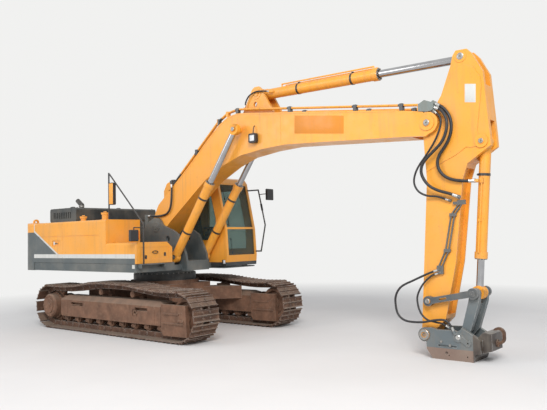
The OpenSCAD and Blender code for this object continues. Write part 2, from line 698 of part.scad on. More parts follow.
module cab_box() difference() {
    slab(cab_y0, cab_y1) polygon(cab_out);
    slab(cab_y0 + cab_wall, cab_y1 - cab_wall) polygon(cab_in);
    // Door opening in the left wall
    slab(cab_y1 - cab_wall - 1, cab_y1 + 10) polygon(door_line(0));
    // Right window
    slab(cab_y0 - 10, cab_y0 + cab_wall + 1) polygon(right_window());
    // Windscreen, upper and lower
    slab(cab_y0 + cab_wall, cab_y1 - cab_wall)
        polygon([[900, 2900], [1400, 2900], [1400, 2010], [1150, 2010]]);
    slab(cab_y0 + cab_wall, cab_y1 - cab_wall)
        polygon([[1150, 1970], [1400, 1970], [1400, 1440], [1150, 1440]]);
    block([cab_x0 - 10, rear_window[0], rear_window[2]],
        [cab_x0 + cab_wall + 1, rear_window[1], rear_window[3]]);
    // Long edges of the roof taken off to a radius
    for (s = [-1, 1]) translate([0, s > 0 ? cab_y1 - edge_r : cab_y0 + edge_r, cab_top - edge_r])
        across(cab_x0 - 10, 1400) difference() {
            translate([s > 0 ? 0 : -edge_r - 1, 0]) square([edge_r + 1, edge_r + 1]);
            circle(r = edge_r);
        }
}

function right_window() = [[-420, 1980], [-420, 2880], [820, 2880], [1000, 2200], [1010, 1760], [250, 1760]];
function door_line(d) = [[door_x0 + d, cab_floor + 20 + d], [door_x0 + d, 2900 - d], [900 - d, 2900 - d],
    [980 - d, 2760], [door_x1 - d, 1960], [door_x1 + 10 - d, cab_floor + 20 + d]];
function door_window() = [[door_x0 + 90, 2050], [door_x0 + 90, 2820], [850, 2820], [1045, 1960], [1055, 1560],
    [500, 1560]];

cab_hinge = [door_x0 - 24, cab_y1 + 20];
cab_hinge_z = [1560, 2150, 2740];

// Outside knuckles: the shell's pin with its two lugs, the door's leaf between them
module cab_door() color(orange) difference() {
    union() {
        slab(cab_y1 - cab_wall + 2, cab_y1) polygon(door_line(4));
        for (z = cab_hinge_z) {
            translate([cab_hinge[0], cab_hinge[1], z - 25]) cylinder(r = 18, h = 50);
            block([cab_hinge[0], cab_y1 + 2, z - 25], [door_x0 + 40, cab_y1 + 14, z + 25]);
            block([door_x0 + 8, cab_y1 - 10, z - 25], [door_x0 + 40, cab_y1 + 14, z + 25]);
        }
        // Grab handle beside the latch
        rail([[1098, cab_y1 - 2, 1690], [1098, cab_y1 + 50, 1690], [1098, cab_y1 + 50, 1930],
            [1098, cab_y1 - 2, 1930]], 11);
    }
    slab(cab_y1 - cab_wall - 10, cab_y1 + 10) polygon(door_window());
    for (z = cab_hinge_z)
        translate([cab_hinge[0], cab_hinge[1], z - 40]) cylinder(r = hinge_r + pin_fit, h = 80);
}

module door_glass() color("lightblue")
    slab(cab_y1 - 40, cab_y1 - 32) polygon(door_window());

module cab_glass() color("lightblue") {
    slab(cab_y0 + 22, cab_y0 + 30) polygon(right_window());
    block([cab_x0 + 20, rear_window[0], rear_window[2]], [cab_x0 + 28, rear_window[1], rear_window[3]]);
    intersection() {
        slab(cab_y0 + cab_wall, cab_y1 - cab_wall)
            polygon([[1033, 2930], [1041, 2930], [1251, 1960], [1243, 1960]]);
        block([800, 0, 2010], [1400, 2000, 2900]);
    }
    intersection() {
        slab(cab_y0 + cab_wall, cab_y1 - cab_wall)
            polygon([[1243, 1980], [1251, 1980], [1284, 1430], [1276, 1430]]);
        block([800, 0, 1440], [1400, 2000, 1970]);
    }
}

module seat() color(black) {
    y = (cab_y0 + cab_y1) / 2;
    block([-60, y - 170, cab_floor], [340, y + 170, 1700]);
    block([-120, y - 250, 1700], [400, y + 250, 1840]);
    translate([-130, y - 240, 1800]) rotate([0, -12, 0]) cube([130, 480, 640]);
    translate([-270, y - 140, 2420]) rotate([0, -12, 0]) cube([90, 280, 200]);
}

module console() color(black) {
    y = (cab_y0 + cab_y1) / 2;
    for (s = [-1, 1]) {
        block([-60, y + s * 320 - 55, cab_floor], [420, y + s * 320 + 55, 1950]);
        translate([360, y + s * 320, 1949]) cylinder(r = 18, h = 160);
    }
}

// Rails and mirrors

module handrails() color(black) {
    y = rail_y_right;
    rail([[post_x, y, step_plate_z + 0.3], [post_x, y, 2090], [-84.9, y, 3080]], 14);
    // Arm of the lower right mirror
    rail([[post_x, y, 2015], [post_x, -house_hw - 90, 2015],
        [post_x, -house_hw - 90, low_mirror_z + 0.3]], 10);
    // Left rail beside the windscreen, and the left mirror's arm
    rail([[1303.2, cab_y1 - 20, 1500], [1421, cab_y1 + 10, 1500], [1547, cab_y1 + 10, 2050],
        [1373, cab_y1 + 10, 2800], [1094.6, cab_y1 - 20, 2800]], 15);
    rail([[1400, cab_y1 + 13, 2700], [1460, cab_y1 + 75, 2712], [left_mirror_x - 0.3, cab_y1 + 75, 2712]], 9);
}

step_plate_z = 1345;
post_x = step_x + 45;
low_mirror_z = 1975;
left_mirror_x = 1565;

module mirror_right() color(black) {
    y = rail_y_right;
    translate([mirror_x, y, house_top + 0.3]) cylinder(r = 15, h = 910);
    rounded_block([-80, y - 30, 2480], [70, y + 30, 2910], 28);
    for (z = [2540, 2850]) rod([mirror_x, y, z], [-70, y, z], 9);
    rounded_block([post_x - 30, -house_hw - 180, low_mirror_z - 210],
        [post_x + 30, -house_hw - 8, low_mirror_z], 22);
}

module mirror_left() color(black)
    rounded_block([left_mirror_x, cab_y1 + 20, 2575], [left_mirror_x + 50, cab_y1 + 220, 2815], 20);

// Boom

module boom() color(orange) difference() {
    union() {
        slab(-boom_hw, boom_hw) {
            polygon(concat(boom_top, boom_under));
            translate(foot_pin) circle(r = foot_boss_r);
        }
        bar_y(boom_end, end_boss_r, -boom_hw, boom_hw);
        bar_y(boom_end, 112, -boom_hw - 16, boom_hw + 16);
        for (s = [-1, 1]) slab(s * 130 - 25, s * 130 + 25) difference() {
            polygon([[2400, 4060], [2640, 4480], [2700, 4520], [2800, 4520], [2870, 4460], [3150, 3970]]);
            translate([2720, 4200]) circle(r = 48);
        }
        for (s = [-1, 1]) slab(s * 130 - 34, s * 130 + 34) translate(stick_cyl_base) circle(r = 92);
        bar_y(stick_cyl_base, cyl_pin_r, -180, 180);
        // Flanges of the top plate stand proud of the webs
        for (s = [-1, 1]) slab(s * boom_hw - 4, s * boom_hw + 4)
            polygon(concat([for (i = [3:len(boom_top) - 2]) boom_top[i]],
                [for (i = [len(boom_top) - 2:-1:3]) above(boom_top, i, -26)]));
    }
    bar_y(foot_pin, foot_pin_r + pin_fit, -boom_hw - 10, boom_hw + 10);
    bar_y(boom_end, end_pin_r + pin_fit, -boom_hw - 30, boom_hw + 30);
    // Fork for the stick
    slab(-fork_hw, fork_hw)
        polygon([[5800, 2900], [5800, 3250], [5770, 3400], [5850, 3650], [5900, 3800], [6400, 3800],
            [6400, 2900]]);
}

function unit(a, b) = (b - a) / norm(b - a);
// Point i of a line, moved a distance to its left
function above(p, i, d) =
    let (a = unit(p[i - 1], p[i]), b = unit(p[i], p[i + 1]), m = left_of(a) + left_of(b))
    p[i] + m * (2 * d / (m * m));
function along(a, b, d) = a + unit(a, b) * d;

// A cylinder barrel: eye at its base, tube, gland at its mouth. Bore runs through the eye.
module barrel(base, tip, length, r, y, eye_r, half, pin_r) difference() {
    p0 = along(base, tip, 0);
    p1 = along(base, tip, eye_r * 0.6);
    p2 = along(base, tip, length);
    p3 = along(base, tip, length - 90);
    union() {
        bar_y(base, eye_r, y - half, y + half);
        rod([p1[0], y, p1[1]], [p2[0], y, p2[1]], r);
        rod([p3[0], y, p3[1]], [p2[0], y, p2[1]], r + 12);
    }
    bar_y(base, pin_r + pin_fit, y - half - 10, y + half + 10);
    q = along(base, tip, eye_r + 10);
    w = along(base, tip, length + 10);
    rod([q[0], y, q[1]], [w[0], y, w[1]], r * rod_share + 0.5);
}

// A piston rod: its eye at tip, and the rod down into the barrel
module piston(base, tip, inside, r, y, eye_r, half) {
    p0 = along(base, tip, inside);
    p1 = along(tip, base, eye_r * 0.5);
    rod([p0[0], y, p0[1]], [p1[0], y, p1[1]], r);
    bar_y(tip, eye_r, y - half, y + half);
}

// Rod radius as a share of its barrel's
rod_share = 0.66;
boom_barrel_len = 1700;
stick_barrel_len = 2440;
tool_barrel_len = 1640;

module boom_barrels() color(orange) for (s = [-1, 1])
    barrel(boom_cyl_base, boom_cyl_eye, boom_barrel_len, boom_cyl_r, s * boom_cyl_y, 105, 48, cyl_pin_r);

module boom_rods() color(steel) for (s = [-1, 1]) {
    piston(boom_cyl_base, boom_cyl_eye, boom_barrel_len - 800, boom_cyl_r * rod_share, s * boom_cyl_y, 100,
        48);
    bar_y(boom_cyl_eye, cyl_pin_r, s > 0 ? boom_hw + 3 : -475, s > 0 ? 475 : -boom_hw - 3);
}

module stick_barrel() color(orange) {
    barrel(stick_cyl_base, stick_cyl_eye, stick_barrel_len, stick_cyl_r, 0, 120, 95, cyl_pin_r);
    gland(hose_boom_pts, len(hose_boom_pts) - 1, 70, 20);
    // Pipe along the barrel to its far port
    for (s = [-1, 1]) {
        a = along(stick_cyl_base, stick_cyl_eye, 520);
        b = along(stick_cyl_base, stick_cyl_eye, stick_barrel_len - 60);
        rail([[a[0], s * 60, a[1] + 60], [a[0], s * 60, a[1] + 120], [b[0], s * 60, b[1] + 120],
            [b[0], s * 60, b[1] + 60]], 13);
    }
}

module stick_rod() color(steel)
    piston(stick_cyl_base, stick_cyl_eye, stick_barrel_len - 720, stick_cyl_r * rod_share, 0, 110, 90);

// Stick

module stick() color(orange) difference() {
    union() {
        slab(-stick_hw, stick_hw) {
            polygon(stick_line);
            translate(boom_end) circle(r = stick_end_r);
        }
        // Doubler plates round the upper pins
        slab(-stick_hw - doubler_t, stick_hw + doubler_t) difference() {
            union() {
                polygon(doubler_line);
                translate(boom_end) circle(r = stick_end_r - 10);
            }
            translate([6330, 3420]) circle(r = 60);
        }
        bar_y(stick_tip, 95, -stick_hw, stick_hw);
        bar_y(idler_pin, link_pin_r, -stick_hw - 90, stick_hw + 90);
        bar_y(stick_tip, end_pin_r, -coupler_hw - 12, coupler_hw + 12);
        for (s = [-1, 1]) bar_y(stick_tip, 78, s > 0 ? coupler_hw + 6 : -coupler_hw - 18,
            s > 0 ? coupler_hw + 18 : -coupler_hw - 6);
        bar_y(boom_end, end_pin_r, -boom_hw - 30, boom_hw + 30);
        bar_y(tool_cyl_base, cyl_pin_r, -stick_hw - 34, stick_hw + 34);
        bar_y(tool_cyl_base, 92, -stick_hw - 22, stick_hw + 22);
        bar_y(stick_cyl_eye, 88, -stick_hw - 8, stick_hw + 8);
    }
    // Slot between the top ears for the rod's eye
    slab(-97, 97) polygon([[6000, 4500], [6330, 3850], [6420, 3960], [6760, 3960], [6800, 3850], [7100, 3850],
        [7100, 4500]]);
    // Slot for the coupler cylinder's barrel
    slab(-86, 86) difference() {
        polygon([[6690, 2690], [7100, 2690], [7100, 3350], [6790, 3350], [6745, 3150], [6735, 3000]]);
        translate(tool_cyl_base) circle(r = cyl_pin_r);
    }
    // Front face set back between the side plates
    slab(-stick_hw + 25, stick_hw - 25)
        polygon([[6187, 620], [6358, 1375], [6500, 2528], [6560, 2700], [6700, 2700], [6700, 600]]);
}

doubler_line = [[6023, 2690], [6157, 2757], [6476, 2894], [6639, 2996], [6685, 2981], [6860, 2990],
    [6800, 3208], [6884, 3813], [6874, 3949], [6776, 4116], [6655, 4169], [6546, 4146], [6240, 3707],
    [6190, 3545], [5965, 3475], [5935, 3330], [6000, 3185]];

module tool_barrel() color(orange) {
    barrel(tool_cyl_base, tool_cyl_eye, tool_barrel_len, tool_cyl_r, 0, 100, 80, cyl_pin_r);
    // Port of the hose, its pipe down to the gland, and the clip that holds it
    p = along(tool_cyl_base, tool_cyl_eye, 545);
    q = along(tool_cyl_base, tool_cyl_eye, tool_barrel_len - 50);
    y = -tool_cyl_r - 24;
    block([p[0] - 24, y - 14, p[1] - 32], [p[0] + 24, -tool_cyl_r + 12, p[1] + 32]);
    gland(hose_b_pts, len(hose_b_pts) - 1, 60, 26);
    rail([[p[0] + 3, y, p[1] - 20], [q[0], y, q[1] + 40], [q[0], -tool_cyl_r + 10, q[1]]], 12);
    m = along(tool_cyl_base, tool_cyl_eye, 1100);
    block([m[0] - 16, y - 16, m[1] - 14], [m[0] + 16, -tool_cyl_r + 8, m[1] + 14]);
}

module tool_rod() color(steel)
    piston(tool_cyl_base, tool_cyl_eye, tool_barrel_len - 980, tool_cyl_r * rod_share, 0, 95, 80);

idler_y = stick_hw + 8;

module idler_links() color(black) for (s = [-1, 1]) difference() {
    a = s > 0 ? idler_y + 40 : -idler_y - 80;
    union() {
        slab(a, a + 40) difference() {
            union() {
                strap(idler_pin, tool_cyl_eye, 44);
                translate(idler_pin) circle(r = 70);
                translate(tool_cyl_eye) circle(r = 76);
            }
            translate((idler_pin * 2 + tool_cyl_eye) / 3) rotate(11) translate([-60, -14]) square([120, 28]);
        }
        bar_y(idler_pin, 72, s > 0 ? idler_y : -idler_y - 82, s > 0 ? idler_y + 82 : -idler_y);
        bar_y(tool_cyl_eye, 78, s > 0 ? idler_y + 36 : -idler_y - 86, s > 0 ? idler_y + 86 : -idler_y - 36);
        bar_y(tool_cyl_eye, 40, s > 0 ? idler_y + 36 : -idler_y - 100, s > 0 ? idler_y + 100 : -idler_y - 36);
    }
    bar_y(idler_pin, link_pin_r + pin_fit, s > 0 ? idler_y - 5 : -idler_y - 90,
        s > 0 ? idler_y + 90 : -idler_y + 5);
}

module push_link() color(link_blue) difference() {
    union() {
        for (s = [-1, 1]) slab(s > 0 ? 110 : -push_hw, s > 0 ? push_hw : -110) {
            polygon([[6400, 345], [6488, 470], [6585, 815], [6612, 952], [6748, 925], [6737, 813],
                [6610, 422], [6520, 318]]);
            translate(tool_cyl_eye) circle(r = 70);
            translate(coupler_pin) circle(r = 70);
        }
        // Cross web between the two side plates
        slab(-115, 115) polygon([[6625, 790], [6690, 790], [6545, 400], [6480, 400]]);
        slab(-115, 115) translate(coupler_pin) circle(r = 62);
    }
    bar_y(coupler_pin, link_pin_r + pin_fit, -200, 200);
}

push_hw = 190;

module coupler() color(link_blue) {
    difference() {
        union() {
            for (s = [-1, 1]) slab(s > 0 ? push_hw + side_gap : -coupler_hw,
                s > 0 ? coupler_hw : -push_hw - side_gap) {
                polygon([[5952, 424], [6048, 440], [6140, 413], [6366, 421], [6430, 402], [6491, 439],
                    [6760, 290], [6771, 230], [6771, 128], [6660, 0], [6059, 0], [5971, 131]]);
                translate(stick_tip) circle(r = 100);
                // Bevelled plate on the front top edge
                polygon([[6489, 437], [6503, 463], [6776, 305], [6762, 279]]);
            }
            slab(-push_hw - side_gap - 1, push_hw + side_gap + 1) polygon([[6059, 0], [6660, 0], [6760, 200],
                [6620, 240], [6500, 190], [6080, 190], [5985, 120]]);
            slab(-push_hw - side_gap - 1, push_hw + side_gap + 1) polygon([[6600, 128], [6780, 128],
                [6903, 165], [6903, 400], [6780, 410], [6620, 240]]);
            bar_y(coupler_pin, link_pin_r, -coupler_hw - 20, coupler_hw + 20);
            gland(hose_coupler_a_pts, len(hose_coupler_a_pts) - 1, 60, 20);
            gland(hose_coupler_b_pts, len(hose_coupler_b_pts) - 1, 80, 18);
            // Locking arms on the outer faces
            for (s = [-1, 1]) slab(s > 0 ? coupler_hw - 1 : -coupler_hw - 16,
                s > 0 ? coupler_hw + 16 : -coupler_hw + 1)
                flat_bar(coupler_pin, [6592, 258], 36, 66, 46);
        }
        bar_y(stick_tip, end_pin_r + pin_fit, -300, 300);
        slab(-300, 300) jaw_notch();
        // Slot, sight holes and the recess under the rear hook
        for (s = [-1, 1]) {
            y0 = s > 0 ? coupler_hw - 22 : -coupler_hw - 20;
            block([6150, y0, 178], [6425, y0 + 42, 208]);
            for (h = [[6274, 97, 22], [6310, 66, 9], [6577, 68, 11]]) bar_y([h[0], h[1]], h[2], y0, y0 + 42);
            bar_y([6592, 258], 13, y0, y0 + 42);
        }
    }
}

// The front jaw: a round seat for a tool's pin, open to the front and down
module jaw_notch() {
    translate(jaw) circle(r = jaw_r);
    polygon([[jaw[0] + 22.5, jaw[1] + 39], [jaw[0] + 48, 128], [7000, 128], [7000, -50], [6664, -50],
        [6664, 0], [jaw[0] - 42.3, jaw[1] - 15.4]]);
}

module lifting_hook() color(rust) {
    slab(-22, 22) difference() {
        union() {
            hook_ring(88);
            polygon([[6880, 205], [6880, 300], [hook_x - 30, 300], [hook_x, 260], [hook_x, 205]]);
        }
        hook_ring(50);
        translate([hook_x - 100, 318]) square([78, 112]);
        translate([6800, 150]) square([103.3, 280]);
    }
    bar_x = 6903.3;
    translate([bar_x, 0, 252]) rotate([0, 90, 0]) cylinder(r = 52, h = 16);
}

hook_x = 6932;

// Outline of the hook's bow: two arcs one above the other
module hook_ring(r) {
    for (z = [328, 386]) translate([hook_x, z]) circle(r = r);
    translate([hook_x - r, 328]) square([2 * r, 58]);
}

// Pipes, lamp and hoses

pipe_r = 17;
pipe_lift = 75;
pipe_y = [199, 236];
clamp_y = [178, 257];
pipe_line = concat([[600, top_z(600) + 40]], [for (i = [6, 7, 8]) above(boom_top, i, pipe_lift)],
    [[6060, 3672]]);
clamp_x = concat([1250], [for (i = [1:3]) pipe_line[i][0]], [3560, 4870, 5680]);
function pipe_z(x) = max([for (i = [0:len(pipe_line) - 2]) let (a = pipe_line[i], b = pipe_line[i + 1])
    a[0] <= x && x <= b[0] ? a[1] + (b[1] - a[1]) * (x - a[0]) / (b[0] - a[0]) : 0]);
function top_z(x) = max([for (i = [2:len(boom_top) - 2]) let (a = boom_top[i], b = boom_top[i + 1])
    a[0] <= x && x <= b[0] ? a[1] + (b[1] - a[1]) * (x - a[0]) / (b[0] - a[0]) : 0]);

// Straight pipes whose ends stop short of the bends, inside the clamp that stands at each one
module pipe_run(pts, r, short = 5) for (i = [0:len(pts) - 2]) {
    u = unit(pts[i], pts[i + 1]);
    rod(pts[i] + u * (i > 0 ? short : 0), pts[i + 1] - u * (i < len(pts) - 2 ? short : 0), r);
}

// Highest point of the boom's top between two places along it
function crest_z(x0, x1) = max(concat([top_z(x0), top_z(x1)],
    [for (p = boom_top) if (p[0] > x0 && p[0] < x1) p[1]]));

// Pairs of steel pipes along both edges of the boom's top, with their clamps, foot blocks and end blocks
module boom_lines() color(steel) {
    for (s = [-1, 1]) {
        for (y = pipe_y) pipe_run([for (p = pipe_line) [p[0], s * y, p[1]]], pipe_r);
        for (x = clamp_x) block([x - 26, s > 0 ? clamp_y[0] : -clamp_y[1], crest_z(x - 26, x + 26) + 0.3],
            [x + 26, s > 0 ? clamp_y[1] : -clamp_y[0], max(pipe_z(x - 26), pipe_z(x + 26)) + pipe_r + 6]);
        slab(s > 0 ? clamp_y[0] : -clamp_y[1], s > 0 ? clamp_y[1] : -clamp_y[0])
            polygon([[520, 2830], [610, 2899], [610, 2985], [520, 2985]]);
        slab(s > 0 ? clamp_y[0] : -clamp_y[1], s > 0 ? clamp_y[1] : -clamp_y[0])
            polygon([[5950, 3590], [6029, 3575], [6070, 3566], [6150, 3566], [6190, 3580], [6205, 3680],
                [6060, 3740], [5950, 3680]]);
    }
    block([535, -305, 2910], [590, -240, 2965]);
    gland(hose_foot_pts, 0, 30, 28);
    gland(hose_a_pts, 0, 60, 30);
    gland(hose_b_pts, 0, 60, 30);
    gland(hose_c_pts, 0, 60, 19);
    translate([2500, -pipe_y[0], pipe_z(2500)]) cylinder(r = 22, h = 30);
    gland(hose_boom_pts, 0, 40, 20);
}

// A hose's fitting at one end of its route, in line with it
module gland(route, at, size, r) {
    n = len(route) - 1;
    d = at == 0 ? unit(route[1], route[0]) : unit(route[n - 1], route[n]);
    rod(route[at] + d * 0.3, route[at] + d * size, r);
}

// Work lamp on the boom's right side
module boom_lamp() color(black) {
    rounded_block([2690, -boom_hw - 92, 3475], [2860, -boom_hw - 22, 3645], 30);
    block([2740, -boom_hw - 23, 3520], [2810, -boom_hw - 0.3, 3600]);
    rail([[2775, -boom_hw - 60, 3640], [2775, -boom_hw - 40, 3760], [2775, -boom_hw - 12, 3790]], 8);
}

// Pair of pipes on the stick's right side, with the elbow of the thick hose
stick_pipe_y = -stick_hw - 22;
stick_pipe = [[6555, 2230], [6410, 2045], [6306, 1538], [6190, 1300]];

module stick_lines() color(steel) {
    for (e = [-25, 25]) rail([for (p = stick_pipe) [p[0] + e, stick_pipe_y, p[1]]], 12);
    for (p = [stick_pipe[1], stick_pipe[2], stick_pipe[3]])
        block([p[0] - 48, stick_pipe_y - 16, p[1] - 22], [p[0] + 48, -stick_hw - 0.3, p[1] + 22]);
    block([6490, stick_pipe_y - 16, 2185], [6600, -stick_hw - 0.3, 2250]);
    block([6172, stick_pipe_y - 16, 1200], [6236, -stick_hw - 0.3, 1290]);
    block([6420, stick_pipe_y - 12, 2190], [6491, -stick_hw - 0.3, 2230]);
    gland(hose_a_pts, len(hose_a_pts) - 1, 40, 28);
    gland(hose_c_pts, len(hose_c_pts) - 1, 40, 20);
    gland(hose_coupler_a_pts, 0, 40, 20);
    gland(hose_coupler_b_pts, 0, 40, 18);
}

// Hose routes, [x, y, z]
hose_a_pts = [[6210, -226, 3610], [6310, -246, 3560], [6380, -265, 3460], [6410, -280, 3340],
    [6390, -290, 3210], [6330, -296, 3090], [6230, -300, 2990], [6110, -300, 2890], [6020, -296, 2790],
    [5995, -290, 2680], [6030, -280, 2570], [6110, -266, 2470], [6230, -250, 2400], [6380, -232, 2350],
    [6500, -212, 2300]];
hose_b_pts = [[6215, -207, 3668], [6320, -207, 3600], [6410, -210, 3480], [6445, -214, 3360],
    [6440, -218, 3240], [6400, -221, 3120], [6330, -224, 3010], [6260, -226, 2920], [6225, -226, 2820],
    [6240, -222, 2710], [6310, -214, 2610], [6430, -203, 2545], [6590, -194, 2515], [6720, -150, 2510]];
hose_c_pts = [[6205, -224, 3555], [6275, -228, 3480], [6300, -236, 3380], [6265, -250, 3240],
    [6190, -260, 3090], [6070, -260, 2930], [5940, -260, 2770], [5870, -256, 2630], [5862, -250, 2510],
    [5925, -240, 2400], [6050, -226, 2335], [6200, -212, 2315], [6360, -198, 2255]];
hose_coupler_a_pts = [[6150, -202, 1255], [6040, -232, 1215], [5810, -262, 1110], [5610, -282, 1010],
    [5520, -288, 880], [5510, -290, 740], [5550, -296, 600], [5660, -302, 520], [5820, -308, 505],
    [5990, -314, 520], [6150, -314, 555], [6290, -306, 560], [6370, -292, 480], [6395, -284, 420]];
hose_coupler_b_pts = [[6160, -202, 1210], [6060, -222, 1170], [5940, -248, 1050], [5860, -266, 890],
    [5865, -276, 750], [5915, -282, 630], [6005, -282, 550], [6120, -276, 522], [6230, -262, 503],
    [6310, -240, 455]];
hose_boom_pts = [[2500, -199, 4170], [2535, -201, 4280], [2620, -203, 4370], [2770, -202, 4415],
    [2920, -182, 4408], [3040, -140, 4388]];
hose_foot_pts = [[562, -282, 2895], [562, -282, 2790], [556, -282, 2660], [542, -282, 2530],
    [500, -282, 2400], [410, -282, 2312], [280, -281, 2278], [130, -281, 2268], [-20, -281, 2272],
    [-165, -281, 2280]];

function heading(p, i) = let (n = len(p) - 1) i == 0 ? unit(p[0], p[1]) : i == n ? unit(p[n - 1], p[n])
    : let (v = unit(p[i - 1], p[i]) + unit(p[i], p[i + 1])) v / norm(v);
function hose_ring(p, i, r) =
    let (t = heading(p, i), c = cross(t, [0, 1, 0]), u = c / norm(c), v = cross(u, t))
    [for (k = [0:7]) p[i] + r * (cos(45 * k) * u + sin(45 * k) * v)];

// A round hose of eight sides, swept along its route
module hose(p, r) color(black) polyhedron(
    [for (i = [0:len(p) - 1], q = hose_ring(p, i, r)) q],
    concat([[for (k = [7:-1:0]) k]], [for (i = [0:len(p) - 2], k = [0:7])
        [8 * i + k, 8 * i + (k + 1) % 8, 8 * i + 8 + (k + 1) % 8, 8 * i + 8 + k]],
        [[for (k = [0:7]) 8 * (len(p) - 1) + k]]), convexity = 8);

module hose_a() hose(hose_a_pts, 22.5);
module hose_b() hose(hose_b_pts, 22.5);
module hose_c() hose(hose_c_pts, 15);
module hose_coupler_a() hose(hose_coupler_a_pts, 16);
module hose_coupler_b() hose(hose_coupler_b_pts, 14);
module hose_boom() hose(hose_boom_pts, 14);
module hose_foot() hose(hose_foot_pts, 20);

car_body();
swing_bearing();
side_frame_right();
side_frame_left();
track_right();
track_left();
sprocket_right();
sprocket_left();
idler_right();
idler_left();
rollers_right();
rollers_left();
main_frame();
counterweight();
fuel_tank();
toolbox();
toolbox_lid();
pump_door();
bay_cover();
engine();
engine_hood();
left_house();
radiator_door();
battery_door();
exhaust();
cab_shell();
cab_glass();
cab_door();
door_glass();
seat();
console();
handrails();
mirror_right();
boom();
boom_barrels();
boom_rods();
stick();
stick_barrel();
stick_rod();
tool_barrel();
tool_rod();
idler_links();
push_link();
coupler();
lifting_hook();
mirror_left();
boom_lines();
boom_lamp();
stick_lines();
hose_a();
hose_b();
hose_c();
hose_coupler_a();
hose_coupler_b();
hose_boom();
hose_foot();
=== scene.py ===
"""Crawler excavator: camera, hoses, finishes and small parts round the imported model, in metres."""

import json
import logging
import math
from dataclasses import dataclass, field
from enum import Enum
from typing import Iterable, Sequence

import bmesh
import bpy
from mathutils import Matrix, Vector

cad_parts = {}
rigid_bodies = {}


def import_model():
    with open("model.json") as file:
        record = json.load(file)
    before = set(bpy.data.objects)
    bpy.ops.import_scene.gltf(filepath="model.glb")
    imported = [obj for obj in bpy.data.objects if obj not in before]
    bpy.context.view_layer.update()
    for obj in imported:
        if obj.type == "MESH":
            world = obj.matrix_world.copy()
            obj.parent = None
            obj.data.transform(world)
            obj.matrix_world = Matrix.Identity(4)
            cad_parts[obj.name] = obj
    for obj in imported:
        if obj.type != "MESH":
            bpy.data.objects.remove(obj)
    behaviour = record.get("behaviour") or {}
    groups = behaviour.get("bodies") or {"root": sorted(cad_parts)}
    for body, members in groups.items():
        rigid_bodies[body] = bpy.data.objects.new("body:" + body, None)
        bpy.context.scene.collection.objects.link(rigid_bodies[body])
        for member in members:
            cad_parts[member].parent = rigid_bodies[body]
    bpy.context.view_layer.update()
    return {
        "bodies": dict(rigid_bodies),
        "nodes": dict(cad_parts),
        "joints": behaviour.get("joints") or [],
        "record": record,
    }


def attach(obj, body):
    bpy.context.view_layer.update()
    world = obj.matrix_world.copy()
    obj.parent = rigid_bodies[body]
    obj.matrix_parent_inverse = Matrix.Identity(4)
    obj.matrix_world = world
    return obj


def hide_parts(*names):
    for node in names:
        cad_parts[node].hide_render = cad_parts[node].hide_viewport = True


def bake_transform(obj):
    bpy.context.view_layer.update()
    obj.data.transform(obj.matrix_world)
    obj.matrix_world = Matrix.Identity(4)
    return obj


log = logging.getLogger("excavator")

# Each side's direction along y, and its word
SIDES: tuple[tuple[int, str], ...] = ((-1, "right"), (1, "left"))

Colour = tuple[float, float, float]
Point = tuple[float, float, float]
Place = tuple[float, float]
# Two values of one kind, such as low and high
Span = tuple[float, float]
# Two ends, or the lowest and the highest corner
Ends = tuple[Point, Point]
Socket = bpy.types.NodeSocket

ORANGE: Colour = (0.86, 0.36, 0.035)
SLATE: Colour = (0.075, 0.092, 0.095)
DARK_SLATE: Colour = (0.03, 0.036, 0.038)
DUST: Colour = (0.42, 0.36, 0.28)
RUST: Colour = (0.12, 0.058, 0.034)
WHITE: Colour = (0.6, 0.6, 0.57)
BARE: Colour = (0.38, 0.37, 0.36)
BLACK: Colour = (0.018, 0.018, 0.02)
BACKDROP: Colour = (0.88, 0.88, 0.87)


class Axis(Enum):
    """An axis of the object's own coordinates."""

    X = "X"
    Y = "Y"
    Z = "Z"


# Finishes


def shade(colour: Colour, share: float) -> Colour:
    """A colour made darker, or lighter where the share is over 1."""
    return tuple(part * share for part in colour)


